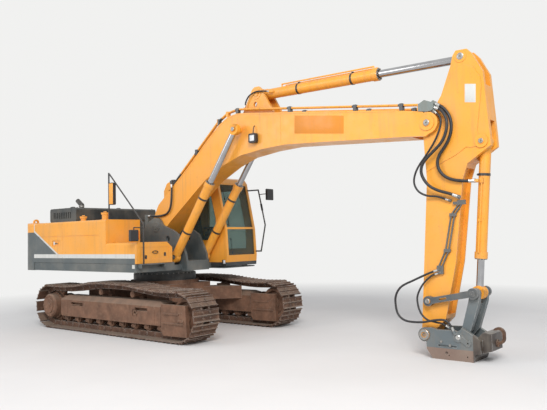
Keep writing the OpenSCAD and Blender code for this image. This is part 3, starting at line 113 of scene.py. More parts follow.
class Graph:
    """The node tree of one new material, with short ways to add and link nodes."""

    def __init__(self, name: str) -> None:
        """Make a material with a Principled shader.

        Args:
            name: The material's name.
        """
        self.material = bpy.data.materials.new(name)
        self.material.use_nodes = True
        self.tree = self.material.node_tree
        self.shader = self.tree.nodes["Principled BSDF"]
        self._place = None

    def add(self, kind: str, **settings: object) -> bpy.types.Node:
        """Add a node and set its properties.

        Args:
            kind: The node's type.
            settings: Properties by name.

        Returns:
            The new node.
        """
        made = self.tree.nodes.new(kind)
        for key, value in settings.items():
            setattr(made, key, value)
        return made

    def link(self, source: Socket, target: Socket) -> None:
        """Join an output to an input."""
        self.tree.links.new(source, target)

    def feed(self, target: Socket, value: object) -> None:
        """Link an input, or set it.

        Args:
            target: The input.
            value: A socket, a number or a colour.
        """
        if isinstance(value, Socket):
            self.link(value, target)
        else:
            target.default_value = (*value, 1.0) if target.type == "RGBA" else value

    def surface(self, name: str, value: object) -> None:
        """Feed one input of the shader."""
        self.feed(self.shader.inputs[name], value)

    @property
    def place(self) -> Socket:
        """The object's own coordinates.

        Returns:
            Their socket.
        """
        if self._place is None:
            self._place = self.add("ShaderNodeTexCoord").outputs["Object"]
        return self._place

    def stretched(self, scale: Point) -> Socket:
        """The object's coordinates, scaled along each axis.

        Args:
            scale: The scale along each axis.

        Returns:
            The scaled coordinates.
        """
        mapping = self.add("ShaderNodeMapping")
        mapping.inputs["Scale"].default_value = scale
        self.link(self.place, mapping.inputs["Vector"])
        return mapping.outputs["Vector"]

    def noise(self, scale: float, low: float, high: float, detail: float = 4.0,
              stretch: Point | None = None) -> Socket:
        """Noise, cut so that it runs from 0 at low to 1 at high.

        Args:
            scale: Noise scale in 1/m.
            low: The noise value that becomes 0.
            high: The noise value that becomes 1.
            detail: Octaves.
            stretch: Scale along each axis first.

        Returns:
            A socket from 0 to 1.
        """
        made = self.add("ShaderNodeTexNoise")
        made.inputs["Scale"].default_value = scale
        made.inputs["Detail"].default_value = detail
        self.link(self.stretched(stretch) if stretch else self.place, made.inputs["Vector"])
        return self.spread(made.outputs["Fac"], low, high)

    def spread(self, source: Socket, low: float, high: float, to_low: float = 0.0, to_high: float = 1.0) -> Socket:
        """Map a range of a value to another, clamped.

        Args:
            source: The value.
            low: The value that becomes to_low.
            high: The value that becomes to_high.
            to_low: The low end of the new range.
            to_high: The high end of the new range.

        Returns:
            The mapped value.
        """
        ranged = self.add("ShaderNodeMapRange", clamp=True)
        for name, value in (("From Min", low), ("From Max", high), ("To Min", to_low), ("To Max", to_high)):
            ranged.inputs[name].default_value = value
        self.link(source, ranged.inputs["Value"])
        return ranged.outputs["Result"]

    def math(self, kind: str, first: object, second: object = 0.0) -> Socket:
        """One Math node on sockets or numbers.

        Args:
            kind: The operation.
            first: A socket or a number.
            second: A socket or a number.

        Returns:
            The result.
        """
        made = self.add("ShaderNodeMath", operation=kind)
        self.feed(made.inputs[0], first)
        self.feed(made.inputs[1], second)
        return made.outputs["Value"]

    def times(self, first: object, second: object) -> Socket:
        """The product of two sockets or numbers."""
        return self.math("MULTIPLY", first, second)

    def mix(self, mask: Socket, under: object, over: object) -> Socket:
        """Mix two colours, over where the mask is 1.

        Args:
            mask: How much of the upper colour shows.
            under: A colour or its socket.
            over: A colour or its socket.

        Returns:
            The mixed colour.
        """
        made = self.add("ShaderNodeMix", data_type="RGBA")
        self.link(mask, made.inputs["Factor"])
        for name, value in (("A", under), ("B", over)):
            self.feed([s for s in made.inputs if s.name == name and s.type == "RGBA"][0], value)
        return [s for s in made.outputs if s.type == "RGBA"][0]

    def coordinate(self, axis: Axis) -> Socket:
        """One coordinate of the place on the object.

        Args:
            axis: Which one.

        Returns:
            The coordinate's socket.
        """
        split = self.add("ShaderNodeSeparateXYZ")
        self.link(self.place, split.inputs["Vector"])
        return split.outputs[axis.value]

    def between(self, axis: Axis, low: float, high: float) -> Socket:
        """A mask of the stretch between two places along an axis."""
        value = self.coordinate(axis)
        return self.times(self.math("GREATER_THAN", value, low), self.math("LESS_THAN", value, high))

    def edges(self, radius: float, low: float = 0.02, high: float = 0.2) -> Socket:
        """Where the surface turns a corner within a radius.

        Args:
            radius: How far a worn edge reaches, in metres.
            low: The turn that is still unworn.
            high: The turn that is fully worn.

        Returns:
            A mask of the edges.
        """
        bevel = self.add("ShaderNodeBevel", samples=4)
        bevel.inputs["Radius"].default_value = radius
        flat = self.add("ShaderNodeNewGeometry")
        dot = self.add("ShaderNodeVectorMath", operation="DOT_PRODUCT")
        self.link(bevel.outputs["Normal"], dot.inputs[0])
        self.link(flat.outputs["Normal"], dot.inputs[1])
        return self.spread(self.math("SUBTRACT", 1.0, dot.outputs["Value"]), low, high)

    def upward(self, low: float = 0.3, high: float = 0.95) -> Socket:
        """Where the surface faces up.

        Args:
            low: The slope where the mask starts.
            high: The slope where it is full.

        Returns:
            A mask of the tops.
        """
        flat = self.add("ShaderNodeNewGeometry")
        split = self.add("ShaderNodeSeparateXYZ")
        self.link(flat.outputs["Normal"], split.inputs["Vector"])
        return self.spread(split.outputs["Z"], low, high)

    def bump(self, height: Socket, depth: float, strength: float = 0.4) -> None:
        """Give the shader a bump from a height.

        Args:
            height: The height.
            depth: How deep it is, in metres.
            strength: How strong it is.
        """
        made = self.add("ShaderNodeBump")
        made.inputs["Strength"].default_value = strength
        made.inputs["Distance"].default_value = depth
        self.link(height, made.inputs["Height"])
        self.link(made.outputs["Normal"], self.shader.inputs["Normal"])


@dataclass(frozen=True)
class Finish:
    """A surface that one material shows."""

    name: str

    def build(self) -> bpy.types.Material:
        """Make the material.

        Returns:
            The new material.
        """
        graph = Graph(self.name)
        self.lay(graph)
        return graph.material

    def lay(self, graph: Graph) -> None:
        """Lay the finish; each kind does it in its own way."""
        raise NotImplementedError


@dataclass(frozen=True)
class Band:
    """A zone of colour between two heights or lengths."""

    colour: Colour
    axis: Axis
    low: float
    high: float

    def mask(self, graph: Graph) -> Socket:
        """The band's mask, 1 inside it."""
        return graph.between(self.axis, self.low, self.high)


@dataclass(frozen=True)
class Patch:
    """A zone of colour in a rectangle of the side view, x then z."""

    colour: Colour
    low: Place
    high: Place

    def mask(self, graph: Graph) -> Socket:
        """The patch's mask, 1 inside it."""
        return graph.times(graph.between(Axis.X, self.low[0], self.high[0]),
                           graph.between(Axis.Z, self.low[1], self.high[1]))


@dataclass(frozen=True)
class Slope:
    """A zone of colour below a slanted line in side view, or along it where it has a width."""

    colour: Colour
    start: Place
    end: Place
    width: float = 0.0

    def mask(self, graph: Graph) -> Socket:
        """The zone's mask, 1 below the line.

        Args:
            graph: The material it is for.

        Returns:
            The mask.
        """
        dx, dz = self.end[0] - self.start[0], self.end[1] - self.start[1]
        size = math.hypot(dx, dz)
        along = graph.times(graph.math("SUBTRACT", graph.coordinate(Axis.X), self.start[0]), dz / size)
        across = graph.times(graph.math("SUBTRACT", graph.coordinate(Axis.Z), self.start[1]), dx / size)
        height = graph.math("SUBTRACT", across, along)
        if self.width:
            return graph.math("LESS_THAN", graph.math("ABSOLUTE", height), self.width / 2)
        return graph.math("LESS_THAN", height, 0.0)


Zone = Band | Patch | Slope


@dataclass(frozen=True)
class Paint(Finish):
    """Gloss paint on steel with dust, rain streaks, scuffs and worn edges."""

    colour: Colour
    zones: tuple[Zone, ...] = ()
    dust: float = 0.35
    streaks: float = 0.3
    wear: float = 0.5
    wear_radius: float = 0.006
    worn_colour: Colour = BARE
    dust_colour: Colour = DUST
    roughness: Span = (0.28, 0.5)
    coat: float = 0.12

    def lay(self, graph: Graph) -> None:
        """Lay the finish.

        Args:
            graph: The new material.
        """
        colour: object = graph.mix(graph.noise(1.1, 0.3, 0.7, 3.0), shade(self.colour, 0.88), self.colour)
        for zone in self.zones:
            colour = graph.mix(zone.mask(graph), colour, zone.colour)
        streaks = graph.times(graph.noise(5.0, 0.52, 0.78, 5.0, (3.0, 3.0, 0.25)), self.streaks)
        colour = graph.mix(streaks, colour, shade(self.dust_colour, 0.35))
        patches = graph.times(graph.noise(2.3, 0.42, 0.75, 6.0), self.dust)
        lying = graph.times(graph.upward(), self.dust * 0.9)
        colour = graph.mix(graph.math("MAXIMUM", patches, lying), colour, self.dust_colour)
        speck = graph.times(graph.noise(38.0, 0.66, 0.72, 3.0), self.streaks)
        colour = graph.mix(speck, colour, RUST)
        worn = graph.times(graph.edges(self.wear_radius), graph.noise(14.0, 0.42, 0.6, 5.0))
        colour = graph.mix(graph.times(worn, self.wear), colour, self.worn_colour)
        graph.surface("Base Color", colour)
        graph.surface("Roughness", graph.spread(graph.noise(7.0, 0.3, 0.7, 5.0), 0.0, 1.0, *self.roughness))
        graph.surface("Coat Weight", self.coat)
        graph.bump(graph.noise(45.0, 0.2, 0.8, 3.0), 0.0015, 0.25)


@dataclass(frozen=True)
class RustySteel(Finish):
    """Rough brown steel whose corners and running faces are worn bright."""

    colour: Colour = RUST
    bright: Colour = (0.46, 0.41, 0.37)
    shine: float = 0.75
    radius: float = 0.012
    flakes: float = 0.4
    flake_colour: Colour = (0.3, 0.19, 0.12)
    silt_colour: Colour = (0.33, 0.27, 0.21)
    # Where it isn't worn, and where it is
    roughness: Span = (0.82, 0.38)

    def lay(self, graph: Graph) -> None:
        """Lay the finish.

        Args:
            graph: The new material.
        """
        mottled = graph.mix(graph.noise(5.0, 0.35, 0.68, 8.0), shade(self.colour, 0.55), self.colour)
        flakes = graph.times(graph.noise(17.0, 0.5, 0.75, 6.0), self.flakes)
        mottled = graph.mix(flakes, mottled, self.flake_colour)
        mottled = graph.mix(graph.times(graph.upward(), 0.45), mottled, self.silt_colour)
        worn = graph.times(graph.edges(self.radius, 0.01, 0.12), graph.noise(9.0, 0.34, 0.56, 5.0))
        worn = graph.times(worn, self.shine)
        graph.surface("Base Color", graph.mix(worn, mottled, self.bright))
        graph.surface("Metallic", graph.times(worn, 0.7))
        graph.surface("Roughness", graph.spread(worn, 0.0, 1.0, *self.roughness))
        graph.bump(graph.noise(30.0, 0.2, 0.8, 8.0), 0.004, 0.5)


@dataclass(frozen=True)
class Metal(Finish):
    """Bare, plated or chromed steel."""

    colour: Colour
    roughness: Span
    brushed: Axis = Axis.Z

    def lay(self, graph: Graph) -> None:
        """Lay the finish.

        Args:
            graph: The new material.
        """
        along = {Axis.X: (0.2, 6.0, 6.0), Axis.Y: (6.0, 0.2, 6.0), Axis.Z: (6.0, 6.0, 0.2)}[self.brushed]
        marks = graph.noise(20.0, 0.35, 0.7, 4.0, along)
        graph.surface("Base Color", graph.mix(marks, shade(self.colour, 0.8), self.colour))
        graph.surface("Roughness", graph.spread(marks, 0.0, 1.0, *self.roughness))
        graph.surface("Metallic", 1.0)
        graph.bump(marks, 0.0006, 0.2)


@dataclass(frozen=True)
class PistonRod(Finish):
    """Chromed rod whose eye at its end is painted."""

    eye: Place
    eye_r: float
    paint: Colour
    chrome: Colour = (0.46, 0.46, 0.47)

    def lay(self, graph: Graph) -> None:
        """Lay the finish.

        Args:
            graph: The new material.
        """
        away = [graph.math("POWER", graph.math("SUBTRACT", graph.coordinate(axis), value), 2.0)
                for axis, value in ((Axis.X, self.eye[0]), (Axis.Z, self.eye[1]))]
        painted = graph.math("LESS_THAN", graph.math("ADD", *away), self.eye_r ** 2)
        smears = graph.noise(6.0, 0.4, 0.75, 5.0)
        chrome = graph.mix(smears, self.chrome, shade(self.chrome, 0.82))
        grimy = graph.mix(graph.noise(12.0, 0.45, 0.7, 5.0), self.paint, shade(self.paint, 0.5))
        graph.surface("Base Color", graph.mix(painted, chrome, grimy))
        graph.surface("Metallic", graph.math("SUBTRACT", 1.0, painted))
        dull = graph.math("MAXIMUM", graph.spread(smears, 0.0, 1.0, 0.08, 0.2), graph.times(painted, 0.5))
        graph.surface("Roughness", dull)
        graph.bump(graph.noise(60.0, 0.2, 0.8, 2.0), 0.0004, 0.15)


@dataclass(frozen=True)
class Rubber(Finish):
    """Hose rubber or moulded plastic, with a little dust on top."""

    colour: Colour = BLACK
    roughness: Span = (0.42, 0.62)
    grain: float = 120.0
    dust: float = 0.3
    dust_colour: Colour = (0.16, 0.14, 0.12)

    def lay(self, graph: Graph) -> None:
        """Lay the finish.

        Args:
            graph: The new material.
        """
        dusty = graph.times(graph.upward(0.2, 1.0), graph.noise(9.0, 0.35, 0.7, 5.0))
        graph.surface("Base Color", graph.mix(graph.times(dusty, self.dust), self.colour, self.dust_colour))
        graph.surface("Roughness", graph.spread(graph.noise(20.0, 0.3, 0.7), 0.0, 1.0, *self.roughness))
        graph.bump(graph.noise(self.grain, 0.2, 0.8, 2.0), 0.0006, 0.3)


@dataclass(frozen=True)
class ClearGlass(Finish):
    """Thin safety glass or a lens, tinted by its colour."""

    colour: Colour
    transmission: float
    smears: float = 0.14
    clear: float = 0.02
    bending: float = 1.12

    def lay(self, graph: Graph) -> None:
        """Lay the finish.

        Args:
            graph: The new material.
        """
        smear = graph.noise(2.0, 0.45, 0.8, 5.0, (1.0, 1.0, 2.0))
        graph.surface("Roughness", graph.spread(smear, 0.0, 1.0, self.clear, self.clear + self.smears))
        graph.surface("Base Color", graph.mix(smear, self.colour, shade(self.colour, 0.9)))
        graph.surface("Transmission Weight", self.transmission)
        graph.surface("IOR", self.bending)


@dataclass(frozen=True)
class Cloth(Finish):
    """Woven seat cloth, faded in places."""

    colour: Colour
    threads: float = 140.0

    def lay(self, graph: Graph) -> None:
        """Lay the finish.

        Args:
            graph: The new material.
        """
        weave = graph.add("ShaderNodeTexWave", wave_type="BANDS", bands_direction="DIAGONAL")
        weave.inputs["Scale"].default_value = self.threads
        weave.inputs["Distortion"].default_value = 1.5
        graph.link(graph.place, weave.inputs["Vector"])
        faded = graph.mix(graph.noise(4.0, 0.35, 0.7, 4.0), self.colour, shade(self.colour, 1.5))
        graph.surface("Base Color", graph.mix(weave.outputs["Fac"], shade(self.colour, 0.6), faded))
        graph.surface("Roughness", 0.9)
        graph.surface("Sheen Weight", 0.3)
        graph.bump(weave.outputs["Fac"], 0.0008, 0.5)


@dataclass
class FinishRack:
    """Makes each finish once and hands it out by name."""

    made: dict[str, bpy.types.Material] = field(default_factory=dict)

    def get(self, finish: Finish) -> bpy.types.Material:
        """The material of a finish.

        Args:
            finish: The finish.

        Returns:
            Its material, made the first time it is asked for.
        """
        if finish.name not in self.made:
            self.made[finish.name] = finish.build()
        return self.made[finish.name]


# The line that divides orange from slate on the pump bay door, [x, z] at its two ends
DOOR_LINE = ((-2.66, 2.042), (-1.53, 1.427))
SIDE_STRIPES = (Band(SLATE, Axis.Z, 1.0, 1.45), Band(WHITE, Axis.Z, 1.45, 1.53))
HOUSE_ORANGE = Paint("house_orange", ORANGE, zones=SIDE_STRIPES, dust=0.14, streaks=0.2, wear=0.35)
PUMP_DOOR_ORANGE = Paint("pump_door_orange", ORANGE, dust=0.14, streaks=0.2, wear=0.35, zones=(
    Slope(SLATE, *DOOR_LINE), Slope(WHITE, *DOOR_LINE, 0.035), Patch(WHITE, (-2.66, 2.03), (-2.612, 2.3)),
    *SIDE_STRIPES))
TOOLBOX_ORANGE = Paint("toolbox_orange", ORANGE, dust=0.14, streaks=0.2, wear=0.35, zones=(
    Patch(SLATE, (-0.06, 1.0), (0.835, 1.45)), Patch(WHITE, (-0.06, 1.45), (0.835, 1.53))))
PLAIN_ORANGE = Paint("plain_orange", ORANGE, dust=0.14, streaks=0.2, wear=0.4)
FRONT_ORANGE = Paint("front_orange", ORANGE, dust=0.12, streaks=0.25, wear=0.5)
FRONT_PLATE_ORANGE = Paint("front_plate_orange", (0.68, 0.235, 0.012), dust=0.05, streaks=0.12, wear=0.2)
CYLINDER_ORANGE = Paint("cylinder_orange", ORANGE, dust=0.1, streaks=0.3, wear=0.6)
CAB_ORANGE = Paint("cab_orange", ORANGE, dust=0.1, streaks=0.2, wear=0.3,
                   zones=(Band(DARK_SLATE, Axis.Z, 1.0, 1.3),))
WEIGHT_SLATE = Paint("weight_slate", SLATE, dust=0.25, streaks=0.25, wear=0.6, wear_radius=0.012, zones=(
    Band(ORANGE, Axis.Z, 2.005, 2.3), Patch((0.28, 0.2, 0.17), (-3.4, 1.1), (-3.17, 1.3))))
SLATE_PAINT = Paint("slate_paint", SLATE, dust=0.26, streaks=0.25, wear=0.4, roughness=(0.4, 0.65))
HOOD_PAINT = Paint("hood_paint", DARK_SLATE, dust=0.2, streaks=0.2, wear=0.3, roughness=(0.35, 0.6))
COUPLER_PAINT = Paint("coupler_paint", (0.12, 0.145, 0.155), dust=0.28, streaks=0.4, wear=0.9, wear_radius=0.012,
                      worn_colour=(0.45, 0.44, 0.42), roughness=(0.35, 0.6),
                      zones=(Band((0.2, 0.135, 0.105), Axis.Z, -1.0, 0.16),
                             # Near-black patch over the coupler's front block and jaw: the block's own dark brown,
                             # with painted shade in the jaw opening
                             Patch((0.045, 0.035, 0.03), (6.66, 0.0), (7.1, 0.42))))
LINK_PAINT = Paint("link_paint", (0.065, 0.078, 0.088), dust=0.2, streaks=0.4, wear=0.8, wear_radius=0.01)
HOOK_RUST = RustySteel("hook_rust", (0.12, 0.06, 0.035), (0.3, 0.24, 0.2), 0.6, 0.01)
BLACK_PAINT = Paint("black_paint", BLACK, dust=0.12, streaks=0.1, wear=0.3, roughness=(0.3, 0.5))
WHITE_PLATE = Paint("white_plate", WHITE, dust=0.12, streaks=0.15, wear=0.2, roughness=(0.4, 0.6))
TRACK_STEEL = RustySteel("track_steel")
FRAME_RUST = RustySteel("frame_rust", (0.21, 0.105, 0.062), (0.42, 0.32, 0.25), 0.5, 0.008, flakes=0.28)
BARE_STEEL = Metal("bare_steel", (0.4, 0.39, 0.37), (0.35, 0.6))
ENGINE_METAL = Paint("engine_metal", (0.16, 0.17, 0.17), dust=0.35, streaks=0.4, wear=0.5)
CLAMP_GREY: Colour = (0.05, 0.052, 0.055)
VALVE_GREY: Colour = (0.16, 0.19, 0.18)
PIPE_STEEL = Paint("pipe_steel", ORANGE, dust=0.12, streaks=0.45, wear=0.7, zones=(
    *(Band(CLAMP_GREY, Axis.X, x - 0.05, x + 0.05) for x in (1.25, 1.9, 2.35, 3.56, 4.87, 5.68)),
    Band(VALVE_GREY, Axis.X, 5.96, 6.4), Patch(CLAMP_GREY, (0.3, 2.3), (0.8, 3.1))))
STICK_PIPE = Paint("stick_pipe", (0.09, 0.095, 0.095), dust=0.15, streaks=0.3, wear=0.8, worn_colour=BARE)
# Swing bearing paint darkened to near-black: painted shade of the dark space under the house
BEARING_PAINTED_SHADE = Paint("bearing_painted_shade", (0.022, 0.025, 0.026), dust=0.12, streaks=0.2, wear=0.3, roughness=(0.4, 0.65))
ZINC = Metal("zinc", (0.66, 0.66, 0.64), (0.25, 0.45))
BOOM_ROD = PistonRod("boom_rod_chrome", (2.43, 3.75), 0.104, ORANGE)
STICK_ROD = PistonRod("stick_rod_chrome", (6.595, 4.3), 0.116, ORANGE)
TOOL_ROD = PistonRod("tool_rod_chrome", (6.68, 0.94), 0.1, ORANGE)
HOSE_RUBBER = Rubber("hose_rubber")
SEAL_RUBBER = Rubber("seal_rubber", (0.012, 0.012, 0.013), (0.5, 0.7), 200.0, 0.15)
BLACK_PLASTIC = Rubber("black_plastic", (0.02, 0.02, 0.022), (0.35, 0.5), 220.0)
GLASS = ClearGlass("tinted_glass", (0.34, 0.42, 0.39), 0.9)
LENS = ClearGlass("lamp_lens", (0.9, 0.92, 0.93), 0.35, 0.3)
AMBER = ClearGlass("amber_lens", (0.85, 0.22, 0.02), 0.3, 0.3)
MIRROR = Metal("mirror_glass", (0.86, 0.87, 0.88), (0.02, 0.08))
SEAT_CLOTH = Cloth("seat_cloth", (0.03, 0.03, 0.035))

NODE_FINISHES: dict[str, Finish] = {
    "pump_door": PUMP_DOOR_ORANGE, "cab_shell": CAB_ORANGE, "cab_door": CAB_ORANGE, "toolbox": TOOLBOX_ORANGE,
    "toolbox_lid": PLAIN_ORANGE, "counterweight": WEIGHT_SLATE, "engine_hood": HOOD_PAINT, "engine": ENGINE_METAL,
    "boom": FRONT_ORANGE, "stick": FRONT_ORANGE, "boom_barrels": CYLINDER_ORANGE, "stick_barrel": CYLINDER_ORANGE,
    "tool_barrel": CYLINDER_ORANGE, "boom_rods": BOOM_ROD, "stick_rod": STICK_ROD, "tool_rod": TOOL_ROD,
    "idler_links": LINK_PAINT, "lifting_hook": HOOK_RUST, "boom_lines": PIPE_STEEL, "stick_lines": STICK_PIPE,
    "swing_bearing": BEARING_PAINTED_SHADE,
    "mirror_right": BLACK_PLASTIC, "mirror_left": BLACK_PLASTIC, "boom_lamp": BLACK_PLASTIC,
    "console": BLACK_PLASTIC,
}
SLOT_FINISHES: dict[str, Finish] = {
    "orange_paint": HOUSE_ORANGE, "slate_paint": SLATE_PAINT, "worn_track_steel": TRACK_STEEL,
    "rusty_paint": FRAME_RUST, "bare_steel": BARE_STEEL, "rod_chrome": BOOM_ROD, "black_paint": BLACK_PAINT,
    "seat_cloth": SEAT_CLOTH, "glazing": GLASS, "coupler_paint": COUPLER_PAINT, "pipe_paint": PIPE_STEEL,
    "hose_rubber": HOSE_RUBBER,
}


# Camera, floor and light


@dataclass
class Studio:
    """Camera, floor, lamps and surroundings."""

    eye: Point = (10.0757, -8.6894, 1.7765)
    yaw: float = 0.6859
    pitch: float = 0.0521
    roll: float = -0.0223
    focal: float = 625.9 / 547 * 36
    fade_from: float = 7.0
    fade_to: float = 13.0
    fade_centre: Point = (2.0, 0.0, 0.0)
    sensor: float = 36.0
    floor_size: float = 120.0
    floor_dark: Colour = (0.7, 0.69, 0.68)
    floor_light: Colour = (0.73, 0.72, 0.71)
    sky: Colour = (0.94, 0.96, 1.0)
    sky_strength: float = 0.6
    # Name, place, target, watts and size of each lamp
    lights: tuple[tuple[str, Point, Point, float, float], ...] = (
        ("key_lamp", (13.0, -11.0, 11.0), (1.5, 0.0, 1.5), 2300.0, 6.0),
        ("fill_lamp", (-6.0, -14.0, 8.0), (0.0, 0.0, 1.5), 700.0, 9.0))

    def build(self) -> None:
        """Make the camera, the floor and the light."""
        bpy.context.scene.view_settings.view_transform = "Standard"
        self.camera()
        self.floor()
        self.lamps()
        self.world()

    def camera(self) -> None:
        """Put the camera where the photograph was taken from."""
        ahead = Vector((-math.sin(self.yaw) * math.cos(self.pitch), math.cos(self.yaw) * math.cos(self.pitch),
                        math.sin(self.pitch)))
        right = Vector((math.cos(self.yaw), math.sin(self.yaw), 0.0))
        up = right.cross(ahead)
        side = right * math.cos(self.roll) + up * math.sin(self.roll)
        top = -right * math.sin(self.roll) + up * math.cos(self.roll)
        data = bpy.data.cameras.new("photo_camera")
        data.lens = self.focal
        data.sensor_width = self.sensor
        data.clip_end = 300.0
        made = bpy.data.objects.new("photo_camera", data)
        turn = Matrix((side, top, -ahead)).transposed().to_4x4()
        made.matrix_world = Matrix.Translation(self.eye) @ turn
        bpy.context.scene.collection.objects.link(made)
        bpy.context.scene.camera = made

    def floor(self) -> None:
        """Make the pale floor, which keeps the shadow and turns into the backdrop further out."""
        shape = bmesh.new()
        bmesh.ops.create_grid(shape, x_segments=1, y_segments=1, size=self.floor_size)
        made = Workshop.finish_object("studio_floor", shape)
        graph = Graph("pale_floor")
        cloudy = graph.noise(0.6, 0.3, 0.7, 3.0)
        graph.surface("Base Color", graph.mix(cloudy, self.floor_dark, self.floor_light))
        graph.surface("Roughness", 0.85)
        away = graph.add("ShaderNodeVectorMath", operation="DISTANCE")
        away.inputs[1].default_value = self.fade_centre
        graph.link(graph.place, away.inputs[0])
        faded = graph.spread(away.outputs["Value"], self.fade_from, self.fade_to)
        plain = graph.add("ShaderNodeEmission")
        plain.inputs["Color"].default_value = (*BACKDROP, 1.0)
        mixed = graph.add("ShaderNodeMixShader")
        graph.link(graph.times(faded, seen_rays(graph.tree)), mixed.inputs["Fac"])
        graph.link(graph.shader.outputs["BSDF"], mixed.inputs[1])
        graph.link(plain.outputs["Emission"], mixed.inputs[2])
        graph.link(mixed.outputs["Shader"], graph.tree.nodes["Material Output"].inputs["Surface"])
        made.data.materials.append(graph.material)

    def lamps(self) -> None:
        """Hang two large soft lamps."""
        for name, place, target, power, size in self.lights:
            data = bpy.data.lights.new(name, "AREA")
            data.energy = power
            data.size = size
            made = bpy.data.objects.new(name, data)
            made.location = place
            made.rotation_euler = (Vector(target) - Vector(place)).to_track_quat("-Z", "Y").to_euler()
            bpy.context.scene.collection.objects.link(made)

    def world(self) -> None:
        """Soft white surroundings, and the plain backdrop where they are seen."""
        world = bpy.data.worlds.new("soft_white")
        world.use_nodes = True
        tree = world.node_tree
        back = tree.nodes["Background"]
        back.inputs["Color"].default_value = (*self.sky, 1.0)
        back.inputs["Strength"].default_value = self.sky_strength
        plain = tree.nodes.new("ShaderNodeBackground")
        plain.inputs["Color"].default_value = (*BACKDROP, 1.0)
        plain.inputs["Strength"].default_value = 1.0
        mixed = tree.nodes.new("ShaderNodeMixShader")
        tree.links.new(seen_rays(tree), mixed.inputs["Fac"])
        tree.links.new(back.outputs["Background"], mixed.inputs[1])
        tree.links.new(plain.outputs["Background"], mixed.inputs[2])
        tree.links.new(mixed.outputs["Shader"], tree.nodes["World Output"].inputs["Surface"])
        bpy.context.scene.world = world


def seen_rays(tree: bpy.types.NodeTree) -> Socket:
    """A socket that is 1 for what the camera sees, also in glossy metal and through glass.

    Args:
        tree: The node tree to add to.

    Returns:
        The socket.
    """
    path = tree.nodes.new("ShaderNodeLightPath")
    seen = path.outputs["Is Camera Ray"]
    for kind in ("Is Glossy Ray", "Is Transmission Ray"):
        either = tree.nodes.new("ShaderNodeMath")
        either.operation = "MAXIMUM"
        tree.links.new(seen, either.inputs[0])
        tree.links.new(path.outputs[kind], either.inputs[1])
        seen = either.outputs["Value"]
    return seen


# Making pieces


def turn_to(way: Vector) -> Matrix:
    """The turn that takes +Z to a direction."""
    return Vector((0.0, 0.0, 1.0)).rotation_difference(way).to_matrix().to_4x4()


def side_rectangle(y: float, low: Place, high: Place) -> list[Vector]:
    """The corners of an upright rectangle in side view.

    Args:
        y: How far left it stands.
        low: Its lowest x and z.
        high: Its highest x and z.

    Returns:
        Its four corners.
    """
    return [Vector((x, y, z)) for x, z in (low, (high[0], low[1]), high, (low[0], high[1]))]


def moved_left(y: float, *points: Point) -> list[Vector]:
    """Points moved to the left.

    Args:
        y: How far.
        points: The points.

    Returns:
        The moved points.
    """
    return [Vector(point) + Vector((0.0, y, 0.0)) for point in points]


def smooth_path(route: Sequence[Point], steps: int = 5) -> list[Point]:
    """A smooth curve through a hose's route.

    Args:
        route: The points it runs through.
        steps: Stretches between two points.

    Returns:
        Points along the curve.
    """
    known = [Vector(point) for point in route]
    known = [known[0] * 2 - known[1], *known, known[-1] * 2 - known[-2]]
    curve = []
    for a, b, c, d in zip(known, known[1:], known[2:], known[3:]):
        for step in range(steps):
            t = step / steps
            curve.append(0.5 * ((2 * b) + (c - a) * t + (2 * a - 5 * b + 4 * c - d) * t ** 2
                                + (3 * b - a - 3 * c + d) * t ** 3))
    curve.append(known[-2])
    return [tuple(point) for point in curve]


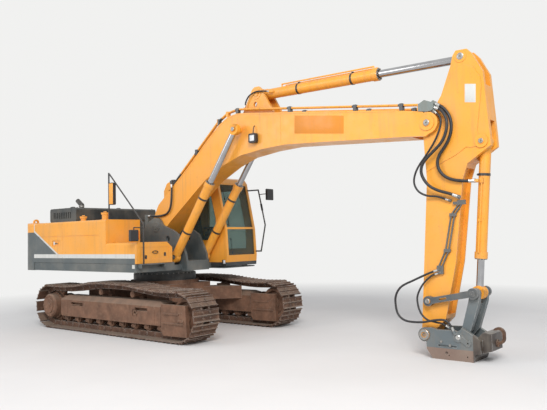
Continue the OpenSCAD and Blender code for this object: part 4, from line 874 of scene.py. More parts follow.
class Forge:
    """A bmesh that grows by Blender's mesh operators into one piece."""

    def __init__(self) -> None:
        """Start with nothing."""
        self.shape = bmesh.new()

    def soften(self, verts: Iterable[bmesh.types.BMVert], round_off: float, segments: int = 2) -> None:
        """Round the edges between some vertices.

        Args:
            verts: The vertices.
            round_off: How far the rounding reaches.
            segments: Its steps.
        """
        if round_off > 0:
            edges = list({edge for vert in verts for edge in vert.link_edges})
            bmesh.ops.bevel(self.shape, geom=edges, offset=round_off, offset_type="OFFSET", segments=segments,
                            profile=0.5, material=-1, affect="EDGES", clamp_overlap=True)

    def bar(self, start: Point, end: Point, radius: float, sides: int = 16, far_radius: float | None = None) -> None:
        """Add a round bar, or a cone where its far radius differs.

        Args:
            start: The middle of one end.
            end: The middle of the other.
            radius: The radius at the start.
            sides: Its facets.
            far_radius: The radius at the end, or None for the same.
        """
        a, b = Vector(start), Vector(end)
        place = Matrix.Translation((a + b) / 2) @ turn_to(b - a)
        bmesh.ops.create_cone(self.shape, cap_ends=True, segments=sides, radius1=radius,
                              radius2=radius if far_radius is None else far_radius, depth=(b - a).length,
                              matrix=place)

    def box(self, low: Point, high: Point, round_off: float = 0.0, segments: int = 2) -> None:
        """Add a box from its lowest to its highest corner.

        Args:
            low: The lowest corner.
            high: The highest corner.
            round_off: How far its edges are rounded.
            segments: The rounding's steps.
        """
        size = Vector(high) - Vector(low)
        place = Matrix.Translation((Vector(low) + Vector(high)) / 2) @ Matrix.Diagonal((*size, 1.0))
        made = bmesh.ops.create_cube(self.shape, size=1.0, matrix=place)
        self.soften(made["verts"], round_off, segments)

    def push(self, faces: list[bmesh.types.BMFace], by: Point) -> list[bmesh.types.BMVert]:
        """Extrude some faces by a vector.

        Args:
            faces: The faces.
            by: The vector.

        Returns:
            The moved vertices.
        """
        made = bmesh.ops.extrude_face_region(self.shape, geom=faces)
        moved = [item for item in made["geom"] if isinstance(item, bmesh.types.BMVert)]
        bmesh.ops.translate(self.shape, verts=moved, vec=by)
        return moved

    def outline(self, points: Sequence[Point]) -> bmesh.types.BMFace:
        """Add one face round an outline."""
        return self.shape.faces.new([self.shape.verts.new(point) for point in points])

    def plate(self, points: Sequence[Point], by: Point, round_off: float = 0.0) -> None:
        """Add a plate: an outline in space, extruded by a vector.

        Args:
            points: The outline.
            by: The vector.
            round_off: How far its edges are rounded.
        """
        face = self.outline(points)
        verts = list(face.verts)
        verts += self.push([face], by)
        self.soften(verts, round_off)

    def border(self, points: Sequence[Point], width: float, by: Point) -> None:
        """Add a flat frame inside an outline, extruded by a vector.

        Args:
            points: The outline.
            width: The frame's width.
            by: The vector.
        """
        face = self.outline(points)
        made = bmesh.ops.inset_region(self.shape, faces=[face], thickness=width, use_boundary=True,
                                      use_even_offset=True)
        bmesh.ops.delete(self.shape, geom=[face], context="FACES_ONLY")
        self.push(made["faces"], by)

    def turned(self, profile: Sequence[Place], centre: Point, way: Point, steps: int = 32) -> None:
        """Add a turned piece.

        Args:
            profile: Pairs of radius and distance along the axis.
            centre: Where the distance is 0.
            way: The axis.
            steps: Stretches round the axis.
        """
        before = set(self.shape.verts)
        along = Vector(way).normalized()
        side = along.orthogonal().normalized()
        verts = [self.shape.verts.new(Vector(centre) + side * r + along * d) for r, d in profile]
        edges = [self.shape.edges.new(pair) for pair in zip(verts, verts[1:])]
        bmesh.ops.spin(self.shape, geom=verts + edges, cent=centre, axis=along, angle=math.tau, steps=steps,
                       use_merge=True, use_duplicate=False)
        fresh = [vert for vert in self.shape.verts if vert not in before]
        bmesh.ops.remove_doubles(self.shape, verts=fresh, dist=1e-5)

    def bolt(self, at: Point, way: Point, across: float = 0.03, height: float = 0.012, washer: bool = True) -> None:
        """Add a hexagon head, on a washer where it has one.

        Args:
            at: The middle of its seat.
            way: The direction it stands out in.
            across: Its size over the flats.
            height: How far it stands out.
            washer: Whether it has one.
        """
        start, out = Vector(at), Vector(way).normalized()
        if washer:
            self.bar(start - out * 0.002, start + out * height * 0.22, across * 0.66, 12)
        self.bar(start - out * 0.002, start + out * height, across * 0.54, 6)

    def bolt_ring(self, centre: Point, way: Point, radius: float, count: int, across: float = 0.03,
                  height: float = 0.012, turned_by: float = 0.0) -> None:
        """Add a ring of bolts round an axis.

        Args:
            centre: The middle of the ring.
            way: The axis.
            radius: The radius of the ring.
            count: How many bolts.
            across: A bolt's size over the flats.
            height: A bolt's height.
            turned_by: The angle of the first bolt, in radians.
        """
        out = Vector(way).normalized()
        side = out.orthogonal().normalized()
        for index in range(count):
            turn = Matrix.Rotation(math.tau * index / count + turned_by, 3, out)
            self.bolt(Vector(centre) + turn @ side * radius, out, across, height)

    def nipple(self, at: Point, way: Point) -> None:
        """Add a grease nipple.

        Args:
            at: The middle of its seat.
            way: The direction it stands out in.
        """
        start, out = Vector(at), Vector(way).normalized()
        self.bar(start - out * 0.002, start + out * 0.008, 0.008, 6)
        self.turned([(0.0045, 0.008), (0.0045, 0.014), (0.0065, 0.018), (0.004, 0.023), (0.0, 0.024)], start, out, 8)

    def box_on(self, at: Vector, along: Vector, up: Vector, lift: float, length: float, width: float,
               height: float) -> None:
        """Add a small block that stands on a round surface.

        Args:
            at: The point on the surface's axis.
            along: The axis's direction.
            up: The direction from the axis to the block.
            lift: The surface's radius.
            length: Its size along the axis.
            width: Its size across.
            height: How far it stands out.
        """
        side = along.cross(up).normalized()
        low = at + up * (lift - 0.003)
        corners = [low + along * (a * length / 2) + side * (b * width / 2)
                   for a, b in ((-1, -1), (1, -1), (1, 1), (-1, 1))]
        self.plate(corners, up * (height + 0.003), 0.003)

    def sweep(self, path: Sequence[Point], radius: float, roundness: int = 2) -> None:
        """Add a round tube along a path, with closed ends.

        Args:
            path: The points along its middle.
            radius: The tube's radius.
            roundness: Its extra facets in each quarter turn.
        """
        line = bpy.data.curves.new("swept_line", "CURVE")
        line.dimensions = "3D"
        line.bevel_depth = radius
        line.bevel_resolution = roundness
        line.use_fill_caps = True
        spline = line.splines.new("POLY")
        spline.points.add(len(path) - 1)
        for knot, point in zip(spline.points, path):
            knot.co = (*point, 1.0)
        holder = bpy.data.objects.new("swept_line", line)
        mesh = bpy.data.meshes.new_from_object(holder)
        self.shape.from_mesh(mesh)
        bmesh.ops.remove_doubles(self.shape, verts=list(self.shape.verts), dist=1e-6)
        bpy.data.objects.remove(holder)
        bpy.data.curves.remove(line)
        bpy.data.meshes.remove(mesh)


@dataclass
class Workshop:
    """Turns shapes into named, finished pieces that ride on a body."""

    frame: dict
    rack: FinishRack

    @staticmethod
    def finish_object(name: str, shape: bmesh.types.BMesh) -> bpy.types.Object:
        """Make an object of a bmesh, with its faces turned outwards.

        Args:
            name: The piece's name.
            shape: The bmesh, which is freed.

        Returns:
            The new object.
        """
        bmesh.ops.recalc_face_normals(shape, faces=shape.faces)
        data = bpy.data.meshes.new(name)
        shape.to_mesh(data)
        shape.free()
        made = bpy.data.objects.new(name, data)
        bpy.context.scene.collection.objects.link(made)
        return made

    def dress(self, made: bpy.types.Object, finish: Finish, slot: str, smooth: float = 35.0) -> None:
        """Give a piece its finish and smooth shading.

        Args:
            made: The piece.
            finish: Its finish.
            slot: Not used.
            smooth: Faces that meet at less than this angle in degrees are shaded smooth.
        """
        made.data.materials.append(self.rack.get(finish))
        made.data.shade_smooth()
        made.data.set_sharp_from_angle(angle=math.radians(smooth))
        log.info("%s: %d faces", made.name, len(made.data.polygons))

    def piece(self, name: str, forge: Forge, body: str, finish: Finish, slot: str) -> None:
        """Make a piece that rides on a body.

        Args:
            name: The piece's name.
            forge: Its shape, used up.
            body: The body that carries it.
            finish: Its finish.
            slot: The record's material slot.
        """
        made = self.finish_object(name, forge.shape)
        self.dress(made, finish, slot)
        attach(made, body)

    def paint_nodes(self) -> None:
        """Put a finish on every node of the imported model."""
        slots = {part["node"]: part["material_slot"] for part in self.frame["record"]["subparts"]}
        for name, node in self.frame["nodes"].items():
            material = self.rack.get(NODE_FINISHES.get(name) or SLOT_FINISHES[slots[name]])
            if not node.data.materials:
                node.data.materials.append(material)
            for index in range(len(node.data.materials)):
                node.data.materials[index] = material
        log.info("finishes on %d nodes", len(self.frame["nodes"]))


@dataclass
class Assembly:
    """A group of pieces that one workshop makes."""

    shop: Workshop


# Hoses


# Radius and place along the hose of a crimped sleeve's rings, as shares of the hose's radius
FERRULE: tuple[Place, ...] = ((0.9, -3.4), (1.16, -3.3), (1.16, -2.4), (1.08, -2.3), (1.08, -2.1), (1.16, -2.0),
                              (1.16, -1.1), (1.08, -1.0), (1.08, -0.8), (1.16, -0.7), (1.16, -0.1), (0.9, 0.0))


@dataclass(frozen=True)
class HoseRun:
    """One rubber hose that crosses a joint, with its crimped ends."""

    node: str
    route: tuple[Point, ...]
    radius: float
    start_body: str
    end_body: str
    joint_bodies: tuple[str, str]
    hand_over: Ends
    stiffness: str = "medium"
    lay: str = "hanging"

    def build(self, shop: Workshop) -> None:
        """Make the hose and its two ends.

        Args:
            shop: The workshop.
        """
        path = smooth_path(self.route)
        forge = Forge()
        forge.sweep(path, self.radius, 3)
        made = shop.finish_object(self.node + "_rubber", forge.shape)
        shop.dress(made, HOSE_RUBBER, "hose_rubber", 60.0)
        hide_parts(self.node)
        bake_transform(made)
        for end, body, at, beside in (("start", self.start_body, path[0], path[2]),
                                      ("end", self.end_body, path[-1], path[-3])):
            self.ferrule(shop, f"{self.node}_{end}_ferrule", body, Vector(at), Vector(at) - Vector(beside))

    def ferrule(self, shop: Workshop, name: str, body: str, at: Vector, out: Vector) -> None:
        """Make a crimped sleeve and its nut at one end.

        Args:
            shop: The workshop.
            name: The piece's name.
            body: The body it rides on.
            at: The end of the route.
            out: The direction away from the hose.
        """
        r = self.radius
        forge = Forge()
        forge.turned([(r * wide, r * along) for wide, along in FERRULE], at, out, 20)
        way = out.normalized()
        forge.bar(at, at + way * r * 1.1, r * 1.3, 6)
        shop.piece(name, forge, body, ZINC, "bare_steel")


@dataclass
class Hoses(Assembly):
    """All hoses between boom, stick, coupler and house."""

    boom_to_stick: tuple[HoseRun, ...] = (
        HoseRun("hose_a", ((6.21, -0.226, 3.61), (6.31, -0.246, 3.56), (6.38, -0.265, 3.46),
                           (6.41, -0.28, 3.34), (6.39, -0.29, 3.21), (6.33, -0.296, 3.09),
                           (6.23, -0.3, 2.99), (6.11, -0.3, 2.89), (6.02, -0.296, 2.79),
                           (5.995, -0.29, 2.68), (6.03, -0.28, 2.57), (6.11, -0.266, 2.47),
                           (6.23, -0.25, 2.4), (6.38, -0.232, 2.35), (6.5, -0.212, 2.3)),
                0.0225, "boom", "stick", ("boom", "stick"), ((6.3, -0.25, 3.5), (6.38, -0.23, 2.42))),
        HoseRun("hose_b", ((6.215, -0.207, 3.668), (6.32, -0.207, 3.6), (6.41, -0.21, 3.48),
                           (6.445, -0.214, 3.36), (6.44, -0.218, 3.24), (6.4, -0.221, 3.12),
                           (6.33, -0.224, 3.01), (6.26, -0.226, 2.92), (6.225, -0.226, 2.82),
                           (6.24, -0.222, 2.71), (6.31, -0.214, 2.61), (6.43, -0.203, 2.545),
                           (6.59, -0.194, 2.515), (6.72, -0.15, 2.51)),
                0.0225, "boom", "tool_barrel", ("boom", "stick"), ((6.32, -0.21, 3.55), (6.5, -0.2, 2.56))),
        HoseRun("hose_c", ((6.205, -0.224, 3.555), (6.275, -0.228, 3.48), (6.3, -0.236, 3.38),
                           (6.265, -0.25, 3.24), (6.19, -0.26, 3.09), (6.07, -0.26, 2.93),
                           (5.94, -0.26, 2.77), (5.87, -0.256, 2.63), (5.862, -0.25, 2.51),
                           (5.925, -0.24, 2.4), (6.05, -0.226, 2.335), (6.2, -0.212, 2.315),
                           (6.36, -0.198, 2.255)),
                0.015, "boom", "stick", ("boom", "stick"), ((6.28, -0.23, 3.45), (6.2, -0.21, 2.36))),
    )
    stick_to_coupler: tuple[HoseRun, ...] = (
        HoseRun("hose_coupler_a", ((6.15, -0.202, 1.255), (6.04, -0.232, 1.215), (5.81, -0.262, 1.11),
                                   (5.61, -0.282, 1.01), (5.52, -0.288, 0.88), (5.51, -0.29, 0.74),
                                   (5.55, -0.296, 0.6), (5.66, -0.302, 0.52), (5.82, -0.308, 0.505),
                                   (5.99, -0.314, 0.52), (6.15, -0.314, 0.555), (6.29, -0.306, 0.56),
                                   (6.37, -0.292, 0.48), (6.395, -0.284, 0.42)),
                0.016, "stick", "coupler", ("stick", "coupler"), ((6.05, -0.23, 1.15), (6.36, -0.3, 0.52))),
        HoseRun("hose_coupler_b", ((6.16, -0.202, 1.21), (6.06, -0.222, 1.17), (5.94, -0.248, 1.05),
                                   (5.86, -0.266, 0.89), (5.865, -0.276, 0.75), (5.915, -0.282, 0.63),
                                   (6.005, -0.282, 0.55), (6.12, -0.276, 0.522), (6.23, -0.262, 0.503),
                                   (6.31, -0.24, 0.455)),
                0.014, "stick", "coupler", ("stick", "coupler"), ((6.05, -0.22, 1.12), (6.24, -0.26, 0.5))),
    )
    on_the_boom: tuple[HoseRun, ...] = (
        HoseRun("hose_boom", ((2.5, -0.199, 4.17), (2.535, -0.201, 4.28), (2.62, -0.203, 4.37),
                              (2.77, -0.202, 4.415), (2.92, -0.182, 4.408), (3.04, -0.14, 4.388)),
                0.014, "boom", "stick_barrel", ("boom", "stick_barrel"),
                ((2.56, -0.2, 4.3), (2.98, -0.16, 4.4)), lay="loose"),
        HoseRun("hose_foot", ((0.562, -0.282, 2.895), (0.562, -0.282, 2.79), (0.556, -0.282, 2.66),
                              (0.542, -0.282, 2.53), (0.5, -0.282, 2.4), (0.41, -0.282, 2.312),
                              (0.28, -0.281, 2.278), (0.13, -0.281, 2.268), (-0.02, -0.281, 2.272),
                              (-0.165, -0.281, 2.28)),
                0.02, "boom", "upper", ("upper", "boom"), ((0.0, -0.28, 2.27), (0.55, -0.28, 2.8))),
    )

    def build(self) -> None:
        """Make every hose."""
        for run in (*self.boom_to_stick, *self.stick_to_coupler, *self.on_the_boom):
            run.build(self.shop)


# Undercarriage


@dataclass
class Tracks(Assembly):
    """Shoe bolts, link plates and pin heads on the two track loops."""

    axle_x: float = 2.015
    track_y: float = 1.195
    end_r: float = 0.455
    pitch_r: float = 0.36
    shoe_count: int = 48
    arc_steps: int = 12
    top_run: tuple[Place, ...] = ((-1.45, 0.8), (-0.95, 0.835), (-0.56, 0.893), (-0.15, 0.908), (0.574, 0.894),
                                  (1.0, 0.844), (1.5, 0.805))
    plate_height: float = 0.07
    bolt_y: float = 0.088
    bolt_x: float = 0.048
    bolt_across: float = 0.034
    bolt_height: float = 0.014
    link_face: float = 0.104
    link_sunk: float = 0.99
    link_thick: float = 0.006
    # Each corner: the pin it is measured from, 0 rear or 1 front, then along and out
    link_outline: tuple[tuple[int, float, float], ...] = (
        (0, 0.01, -0.03), (0, 0.03, -0.042), (1, -0.026, -0.042), (1, -0.006, -0.028),
        (1, -0.006, 0.03), (1, -0.022, 0.052), (0, 0.026, 0.052), (0, 0.01, 0.034))
    pin_r: float = 0.021
    pin_head: float = 0.011

    def arc(self, x: float, start: float) -> list[Vector]:
        """The pin centres' half circle round an axle.

        Args:
            x: Where the axle is.
            start: The angle it starts at, in degrees; it runs clockwise.

        Returns:
            Points along the half circle.
        """
        turns = [math.radians(start - 180 * i / self.arc_steps) for i in range(self.arc_steps + 1)]
        return [Vector((x + self.pitch_r * math.cos(a), 0.0, self.end_r + self.pitch_r * math.sin(a)))
                for a in turns]

    def joints(self) -> list[Vector]:
        """The chain's pin centres in side view, evenly along the loop.

        Returns:
            One vector for each shoe, with y at 0.
        """
        loop = [*self.arc(-self.axle_x, 270), *(Vector((x, 0.0, z)) for x, z in self.top_run),
                *self.arc(self.axle_x, 90)]
        loop.append(loop[0])
        sizes = [(b - a).length for a, b in zip(loop, loop[1:])]
        pitch = sum(sizes) / self.shoe_count
        found, index, run = [], 0, 0.0
        for step in range(self.shoe_count):
            while run + sizes[index] < step * pitch - 1e-9:
                run += sizes[index]
                index += 1
            found.append(loop[index].lerp(loop[index + 1], (step * pitch - run) / sizes[index]))
        return found

    def build(self) -> None:
        """Make the pieces of both tracks."""
        joints = self.joints()
        for side, word in SIDES:
            bolts, links = Forge(), Forge()
            shift = Vector((0.0, side * self.track_y, 0.0))
            for a, b in zip(joints, joints[1:] + joints[:1]):
                self.shoe_bolts(bolts, a + shift, b + shift)
                self.link_plates(links, a + shift, b + shift)
            self.shop.piece(f"shoe_bolts_{word}", bolts, "undercarriage", TRACK_STEEL, "worn_track_steel")
            self.shop.piece(f"chain_links_{word}", links, "undercarriage", TRACK_STEEL, "worn_track_steel")

    def shoe_bolts(self, forge: Forge, a: Vector, b: Vector) -> None:
        """Add a shoe's four bolts between its grousers.

        Args:
            forge: The shape they join.
            a: The pin behind the shoe.
            b: The pin ahead of it.
        """
        along = (b - a).normalized()
        out = Vector((-along.z, 0.0, along.x))
        middle = (a + b) / 2 + out * self.plate_height
        for y in (-self.bolt_y, self.bolt_y):
            for x in (-self.bolt_x, self.bolt_x):
                forge.bolt(middle + along * x + Vector((0.0, y, 0.0)), out, self.bolt_across, self.bolt_height,
                           washer=False)

    def link_plates(self, forge: Forge, a: Vector, b: Vector) -> None:
        """Add a link's outer faces and the heads of its pin.

        Args:
            forge: The shape they join.
            a: The pin behind the link.
            b: The pin ahead of it.
        """
        along = (b - a).normalized()
        out = Vector((-along.z, 0.0, along.x))
        for side, _ in SIDES:
            face = Vector((0.0, side * self.link_face, 0.0))
            sunk = face * self.link_sunk
            forge.plate([(a, b)[end] + along * x + out * v + sunk for end, x, v in self.link_outline],
                        (0.0, side * self.link_thick, 0.0))
            forge.bar(a + sunk, a + face + Vector((0.0, side * self.pin_head, 0.0)), self.pin_r, 10)


@dataclass
class Undercarriage(Assembly):
    """Caps, plugs and bolts of sprockets, idlers, rollers and frames."""

    axle_x: float = 2.015
    track_y: float = 1.195
    axle_z: float = 0.455
    # How far out of the track's middle each face lies
    drive_face: float = 0.268
    hub_face: float = 0.275
    flange_face: float = 0.103
    roller_face: float = 0.15
    web_face: float = 0.205
    keeper_face: float = 0.203
    plug_ring: float = 0.108
    plug_turns: Span = (0.5, 3.64)
    plug: tuple[Place, ...] = ((0.022, -0.002), (0.022, 0.006), (0.016, 0.009), (0.0, 0.009))
    hub_cap: tuple[Place, ...] = ((0.05, -0.002), (0.05, 0.004), (0.044, 0.007), (0.014, 0.007), (0.01, 0.004),
                                  (0.0, 0.004))
    shaft_cap: tuple[Place, ...] = ((0.034, -0.002), (0.034, 0.005), (0.028, 0.009), (0.0, 0.009))
    flange_bolt_r: float = 0.258
    flange_bolts: int = 24
    roller_z: float = 0.2282
    roller_x: Span = (-1.52, 1.4)
    roller_count: int = 9
    rib_x: tuple[float, ...] = (-1.42, -0.8, 0.62, 1.32)
    rib_z: Span = (0.285, 0.59)
    cover_x: Span = (0.712, 0.828)
    cover_z: Span = (0.404, 0.52)
    cover_bolts: Span = (0.7, 0.84)
    keeper_x: Span = (1.944, 2.086)
    keeper_z: Span = (0.352, 0.404)
    keeper_bolts: Span = (1.966, 2.064)
    keeper_thick: float = 0.014
    rib_thick: float = 0.006
    bearing_top: float = 1.1
    bearing_bolt_r: float = 0.62
    bearing_bolts: int = 36

    def build(self) -> None:
        """Make the pieces of both sides and of the swing bearing."""
        for side, word in SIDES:
            self.drive(side, word)
            self.frame_side(side, word)
        ring = Forge()
        ring.bolt_ring((0.0, 0.0, self.bearing_top), (0.0, 0.0, 1.0), self.bearing_bolt_r, self.bearing_bolts,
                       0.024, 0.018)
        self.shop.piece("bearing_bolts", ring, "undercarriage", BARE_STEEL, "bare_steel")

    def drive(self, side: int, word: str) -> None:
        """Plugs and bolts on the drive cover and its flange.

        Args:
            side: -1 for the right track, 1 for the left.
            word: The side's name.
        """
        forge = Forge()
        out = (0.0, side, 0.0)
        face = side * (self.track_y + self.drive_face)
        for turn in self.plug_turns:
            at = (-self.axle_x + self.plug_ring * math.cos(turn), face, self.axle_z + self.plug_ring * math.sin(turn))
            forge.turned(self.plug, at, out, 16)
            forge.bolt(Vector(at) + Vector(out) * 0.008, out, 0.016, 0.008, washer=False)
        hub = side * (self.track_y + self.hub_face)
        forge.turned(self.hub_cap, (-self.axle_x, hub, self.axle_z), out, 28)
        flange = side * (self.track_y + self.flange_face)
        forge.bolt_ring((-self.axle_x, flange, self.axle_z), out, self.flange_bolt_r, self.flange_bolts, 0.02, 0.012)
        self.shop.piece(f"drive_bolts_{word}", forge, "undercarriage", FRAME_RUST, "rusty_paint")

    def frame_side(self, side: int, word: str) -> None:
        """Roller shaft ends, web ribs, adjuster cover and idler keepers.

        Args:
            side: -1 for the right track, 1 for the left.
            word: The side's name.
        """
        forge = Forge()
        out = (0.0, side, 0.0)
        first, last = self.roller_x
        y = side * (self.track_y + self.roller_face)
        for index in range(self.roller_count):
            x = first + (last - first) * index / (self.roller_count - 1)
            forge.turned(self.shaft_cap, (x, y, self.roller_z), out, 16)
            for dx in (-0.044, 0.044):
                forge.bolt((x + dx, y, self.roller_z - 0.018), out, 0.024, 0.013)
        web = side * (self.track_y + self.web_face)
        near, far = sorted((web, web + side * self.rib_thick))
        for x in self.rib_x:
            forge.box((x - 0.004, near, self.rib_z[0]), (x + 0.004, far, self.rib_z[1]), 0.002, 1)
        (x0, x1), (z0, z1) = self.cover_x, self.cover_z
        for x in self.cover_bolts:
            forge.bolt((x, web, (z0 + z1) / 2), out, 0.022, 0.011)
        forge.border([(x0, web, z0), (x1, web, z0), (x1, web, z1), (x0, web, z1)], 0.012,
                     (0.0, side * self.rib_thick, 0.0))
        keeper = side * (self.track_y + self.keeper_face)
        near, far = sorted((keeper, keeper + side * self.keeper_thick))
        forge.box((self.keeper_x[0], near, self.keeper_z[0]), (self.keeper_x[1], far, self.keeper_z[1]), 0.004, 1)
        for x in self.keeper_bolts:
            forge.bolt((x, keeper + side * self.keeper_thick, sum(self.keeper_z) / 2), out, 0.026, 0.013)
        self.shop.piece(f"frame_fittings_{word}", forge, "undercarriage", FRAME_RUST, "rusty_paint")


# House


@dataclass
class House(Assembly):
    """Latches, caps, plates and bolts round the upper structure."""

    side_y: float = 1.43
    top_z: float = 2.2
    deck_top: float = 1.351
    step_x: float = 0.88
    tank_x: float = -0.05
    hood_top: float = 2.515
    skirt_y: float = 1.42
    step_z: float = 1.345
    # Name, body, [x, z] and side of each door's latch
    door_latches: tuple[tuple[str, str, Place, int], ...] = (
        ("pump_latch", "pump_door", (-1.76, 1.755), -1),
        ("radiator_latch", "radiator_door", (-1.84, 1.42), 1),
        ("battery_latch", "battery_door", (-0.86, 1.755), 1))
    pocket_half: Place = (0.15, 0.061)
    lid_half_x: float = 0.046
    lid_y: Span = (-1.271, -0.712)
    lid_z: float = 1.7155
    box_latches: tuple[Place, ...] = ((-1.211, 1.471), (-0.753, 1.511))
    oval_handle: Place = (-0.996, 1.557)
    oval_half: Place = (0.062, 0.024)
    corner_top: float = 1.69
    cap_y: float = -1.2
    # x, radius and height over the top of each filler cap
    filler_caps: tuple[Point, ...] = ((-1.12, 0.067, 0.067), (-0.38, 0.074, 0.117))
    cap_ribs: int = 16
    reflector: tuple[Place, Place] = ((0.738, 1.262), (0.818, 1.334))
    # Corners of the white plate in the pump door latch's pocket: a painted highlight on its sunlit inner edge
    blank_plate: tuple[Place, Place] = ((-1.892, 1.722), (-1.836, 1.792))
    hood_handle_y: float = 0.62
    # [x, height over the hood] along each grab handle
    hood_handle: tuple[Place, ...] = ((-2.5, -0.002), (-2.5, 0.03), (-2.46, 0.05), (-2.34, 0.05),
                                      (-2.3, 0.03), (-2.3, -0.002))
    hood_bolt_x: tuple[float, ...] = (-2.56, -2.33, -2.1, -1.87, -1.67)
    hood_bolt_y: Span = (-0.985, 1.055)
    deck_bolt_x: tuple[float, ...] = (-1.44, -0.75, -0.14)
    deck_bolt_y: Span = (-1.34, -0.66)
    weight_plug_x: Span = (-3.12, -2.8)
    weight_plug_y: float = 0.52
    foot_pin: Place = (0.09, 2.05)
    boom_cylinder_pin: Place = (0.78, 1.44)
    # The mesh behind the hood's air slots: its ends, face and edge, its wires, and how many stand and lie
    mesh_x: Span = (-2.51, -1.78)
    mesh_y: float = -1.004
    mesh_edge: float = 0.085
    mesh_cell: float = 0.027
    mesh_wire: float = 0.003
    mesh_weave: float = 0.0005
    mesh_wires: tuple[int, int] = (27, 6)
    # The two dark panels behind the radiator door's slots, painted shade seen through them: rear ends, length, heights
    # and faces
    panel_x: Span = (-2.54, -2.12)
    panel_length: float = 0.36
    panel_z: Span = (1.5, 2.05)
    panel_in: Span = (0.0545, 0.0515)
    # The step's grip studs along x and y, and how far they keep from the rail's post
    studs: tuple[int, int] = (4, 18)
    first_stud: Place = (0.876, -1.37)
    stud_pitch: Place = (0.022, 0.03)
    stud_height: float = 0.005
    stud_clear: float = 0.0245
    rail_post: Place = (0.925, -1.3)
    exhaust: Place = (-2.2, -0.52)

    def build(self) -> None:
        """Make the house's pieces."""
        for name, body, place, side in self.door_latches:
            self.paddle_latch(name, body, place, side)
        self.toolbox_front()
        self.corner_strip()
        self.tank_caps()
        self.small_plates()
        self.hood_fittings()
        self.deck_bolts()
        self.step_tread()
        self.radiator_slot_shade()
        self.exhaust_band()

    def paddle_latch(self, name: str, body: str, place: Place, side: int) -> None:
        """The paddle, lock barrel and rim of a door's latch.

        Args:
            name: The latch's name.
            body: The door it rides on.
            place: Its x and z.
            side: -1 on the right side, 1 on the left.
        """
        x, z = place
        y0, y1 = sorted((side * (self.side_y - 0.006), side * (self.side_y - 0.001)))
        forge = Forge()
        forge.box((x - 0.052, y0, z - 0.014), (x + 0.02, y1, z + 0.014), 0.002, 1)
        forge.turned([(0.01, -0.001), (0.01, 0.002), (0.007, 0.003), (0.0, 0.003)],
                     (x + 0.042, side * (self.side_y - 0.004), z), (0.0, side, 0.0), 16)
        self.shop.piece(name, forge, body, BLACK_PAINT, "black_paint")
        rim = Forge()
        wide, high = self.pocket_half
        rim.border(side_rectangle(side * (self.side_y - 0.0005), (x - wide, z - high), (x + wide, z + high)), 0.006,
                   (0.0, side * 0.0015, 0.0))
        self.shop.piece(name + "_rim", rim, body, SEAL_RUBBER, "hose_rubber")

    def toolbox_front(self) -> None:
        """Two draw latches and the oval handle on the toolbox's front."""
        forge = Forge()
        x = self.step_x - 0.008
        for y, z in self.box_latches:
            forge.box((x - 0.001, y - 0.022, z - 0.034), (x + 0.012, y + 0.022, z + 0.034), 0.004)
            forge.bar((x + 0.012, y - 0.02, z + 0.012), (x + 0.012, y + 0.02, z + 0.012), 0.006, 10)
            forge.box((x + 0.01, y - 0.012, z - 0.022), (x + 0.018, y + 0.012, z + 0.01), 0.002, 1)
        y, z = self.oval_handle
        wide, high = self.oval_half
        ring = [(x + 0.02, y + wide * math.cos(t), z + high * math.sin(t))
                for t in (math.tau * i / 24 for i in range(25))]
        forge.sweep(ring, 0.006, 2)
        for dy in (-wide, wide):
            forge.bar((x - 0.002, y + dy, z), (x + 0.02, y + dy, z), 0.007, 10)
        self.shop.piece("toolbox_latches", forge, "upper", BLACK_PAINT, "black_paint")

    def corner_strip(self) -> None:
        """The plain strip down the toolbox's front corner, and a seal under its lid."""
        strip = Forge()
        strip.box((self.step_x - 0.046, -self.side_y - 0.003, self.deck_top + 0.004),
                  (self.step_x + 0.003, -self.side_y + 0.06, self.corner_top), 0.003, 1)
        self.shop.piece("toolbox_corner", strip, "upper", PLAIN_ORANGE, "orange_paint")
        seal = Forge()
        rear, front = self.tank_x + self.lid_half_x, self.step_x - 0.002
        right, left = self.lid_y
        seal.border([(x, y, self.lid_z) for x, y in ((rear, right), (front, right), (front, left), (rear, left))],
                    0.016, (0.0, 0.0, 0.001))
        self.shop.piece("toolbox_seal", seal, "upper", SEAL_RUBBER, "hose_rubber")

    def tank_caps(self) -> None:
        """Ribbed rims and grips on the two filler caps."""
        forge = Forge()
        for x, r, over in self.filler_caps:
            z = self.top_z + over
            centre = Vector((x, self.cap_y, z))
            for i in range(self.cap_ribs):
                turn = math.tau * i / self.cap_ribs
                at = centre + Vector((r * math.cos(turn), r * math.sin(turn), 0.0))
                forge.bar(at, at + Vector((0.0, 0.0, 0.034)), 0.005, 8)
            forge.box((x - 0.045, self.cap_y - 0.008, z + 0.038), (x + 0.045, self.cap_y + 0.008, z + 0.056), 0.004)
        self.shop.piece("tank_cap_ribs", forge, "upper", PLAIN_ORANGE, "orange_paint")

    def small_plates(self) -> None:
        """The plain reflector on the skirt, and a small white plate in the pump door latch's pocket that is a painted
        highlight on the pocket's sunlit inner edge.
        """
        reflector = Forge()
        (x0, z0), (x1, z1) = self.reflector
        reflector.box((x0, -self.skirt_y - 0.005, z0), (x1, -self.skirt_y + 0.001, z1), 0.003, 1)
        self.shop.piece("skirt_reflector", reflector, "upper", WHITE_PLATE, "slate_paint")
        # White plate inside the latch's pocket: painted highlight
        blank = Forge()
        (x0, z0), (x1, z1) = self.blank_plate
        blank.box((x0, -self.side_y + 0.012, z0), (x1, -self.side_y + 0.018, z1), 0.002, 1)
        self.shop.piece("door_pocket_highlight", blank, "pump_door", WHITE_PLATE, "slate_paint")

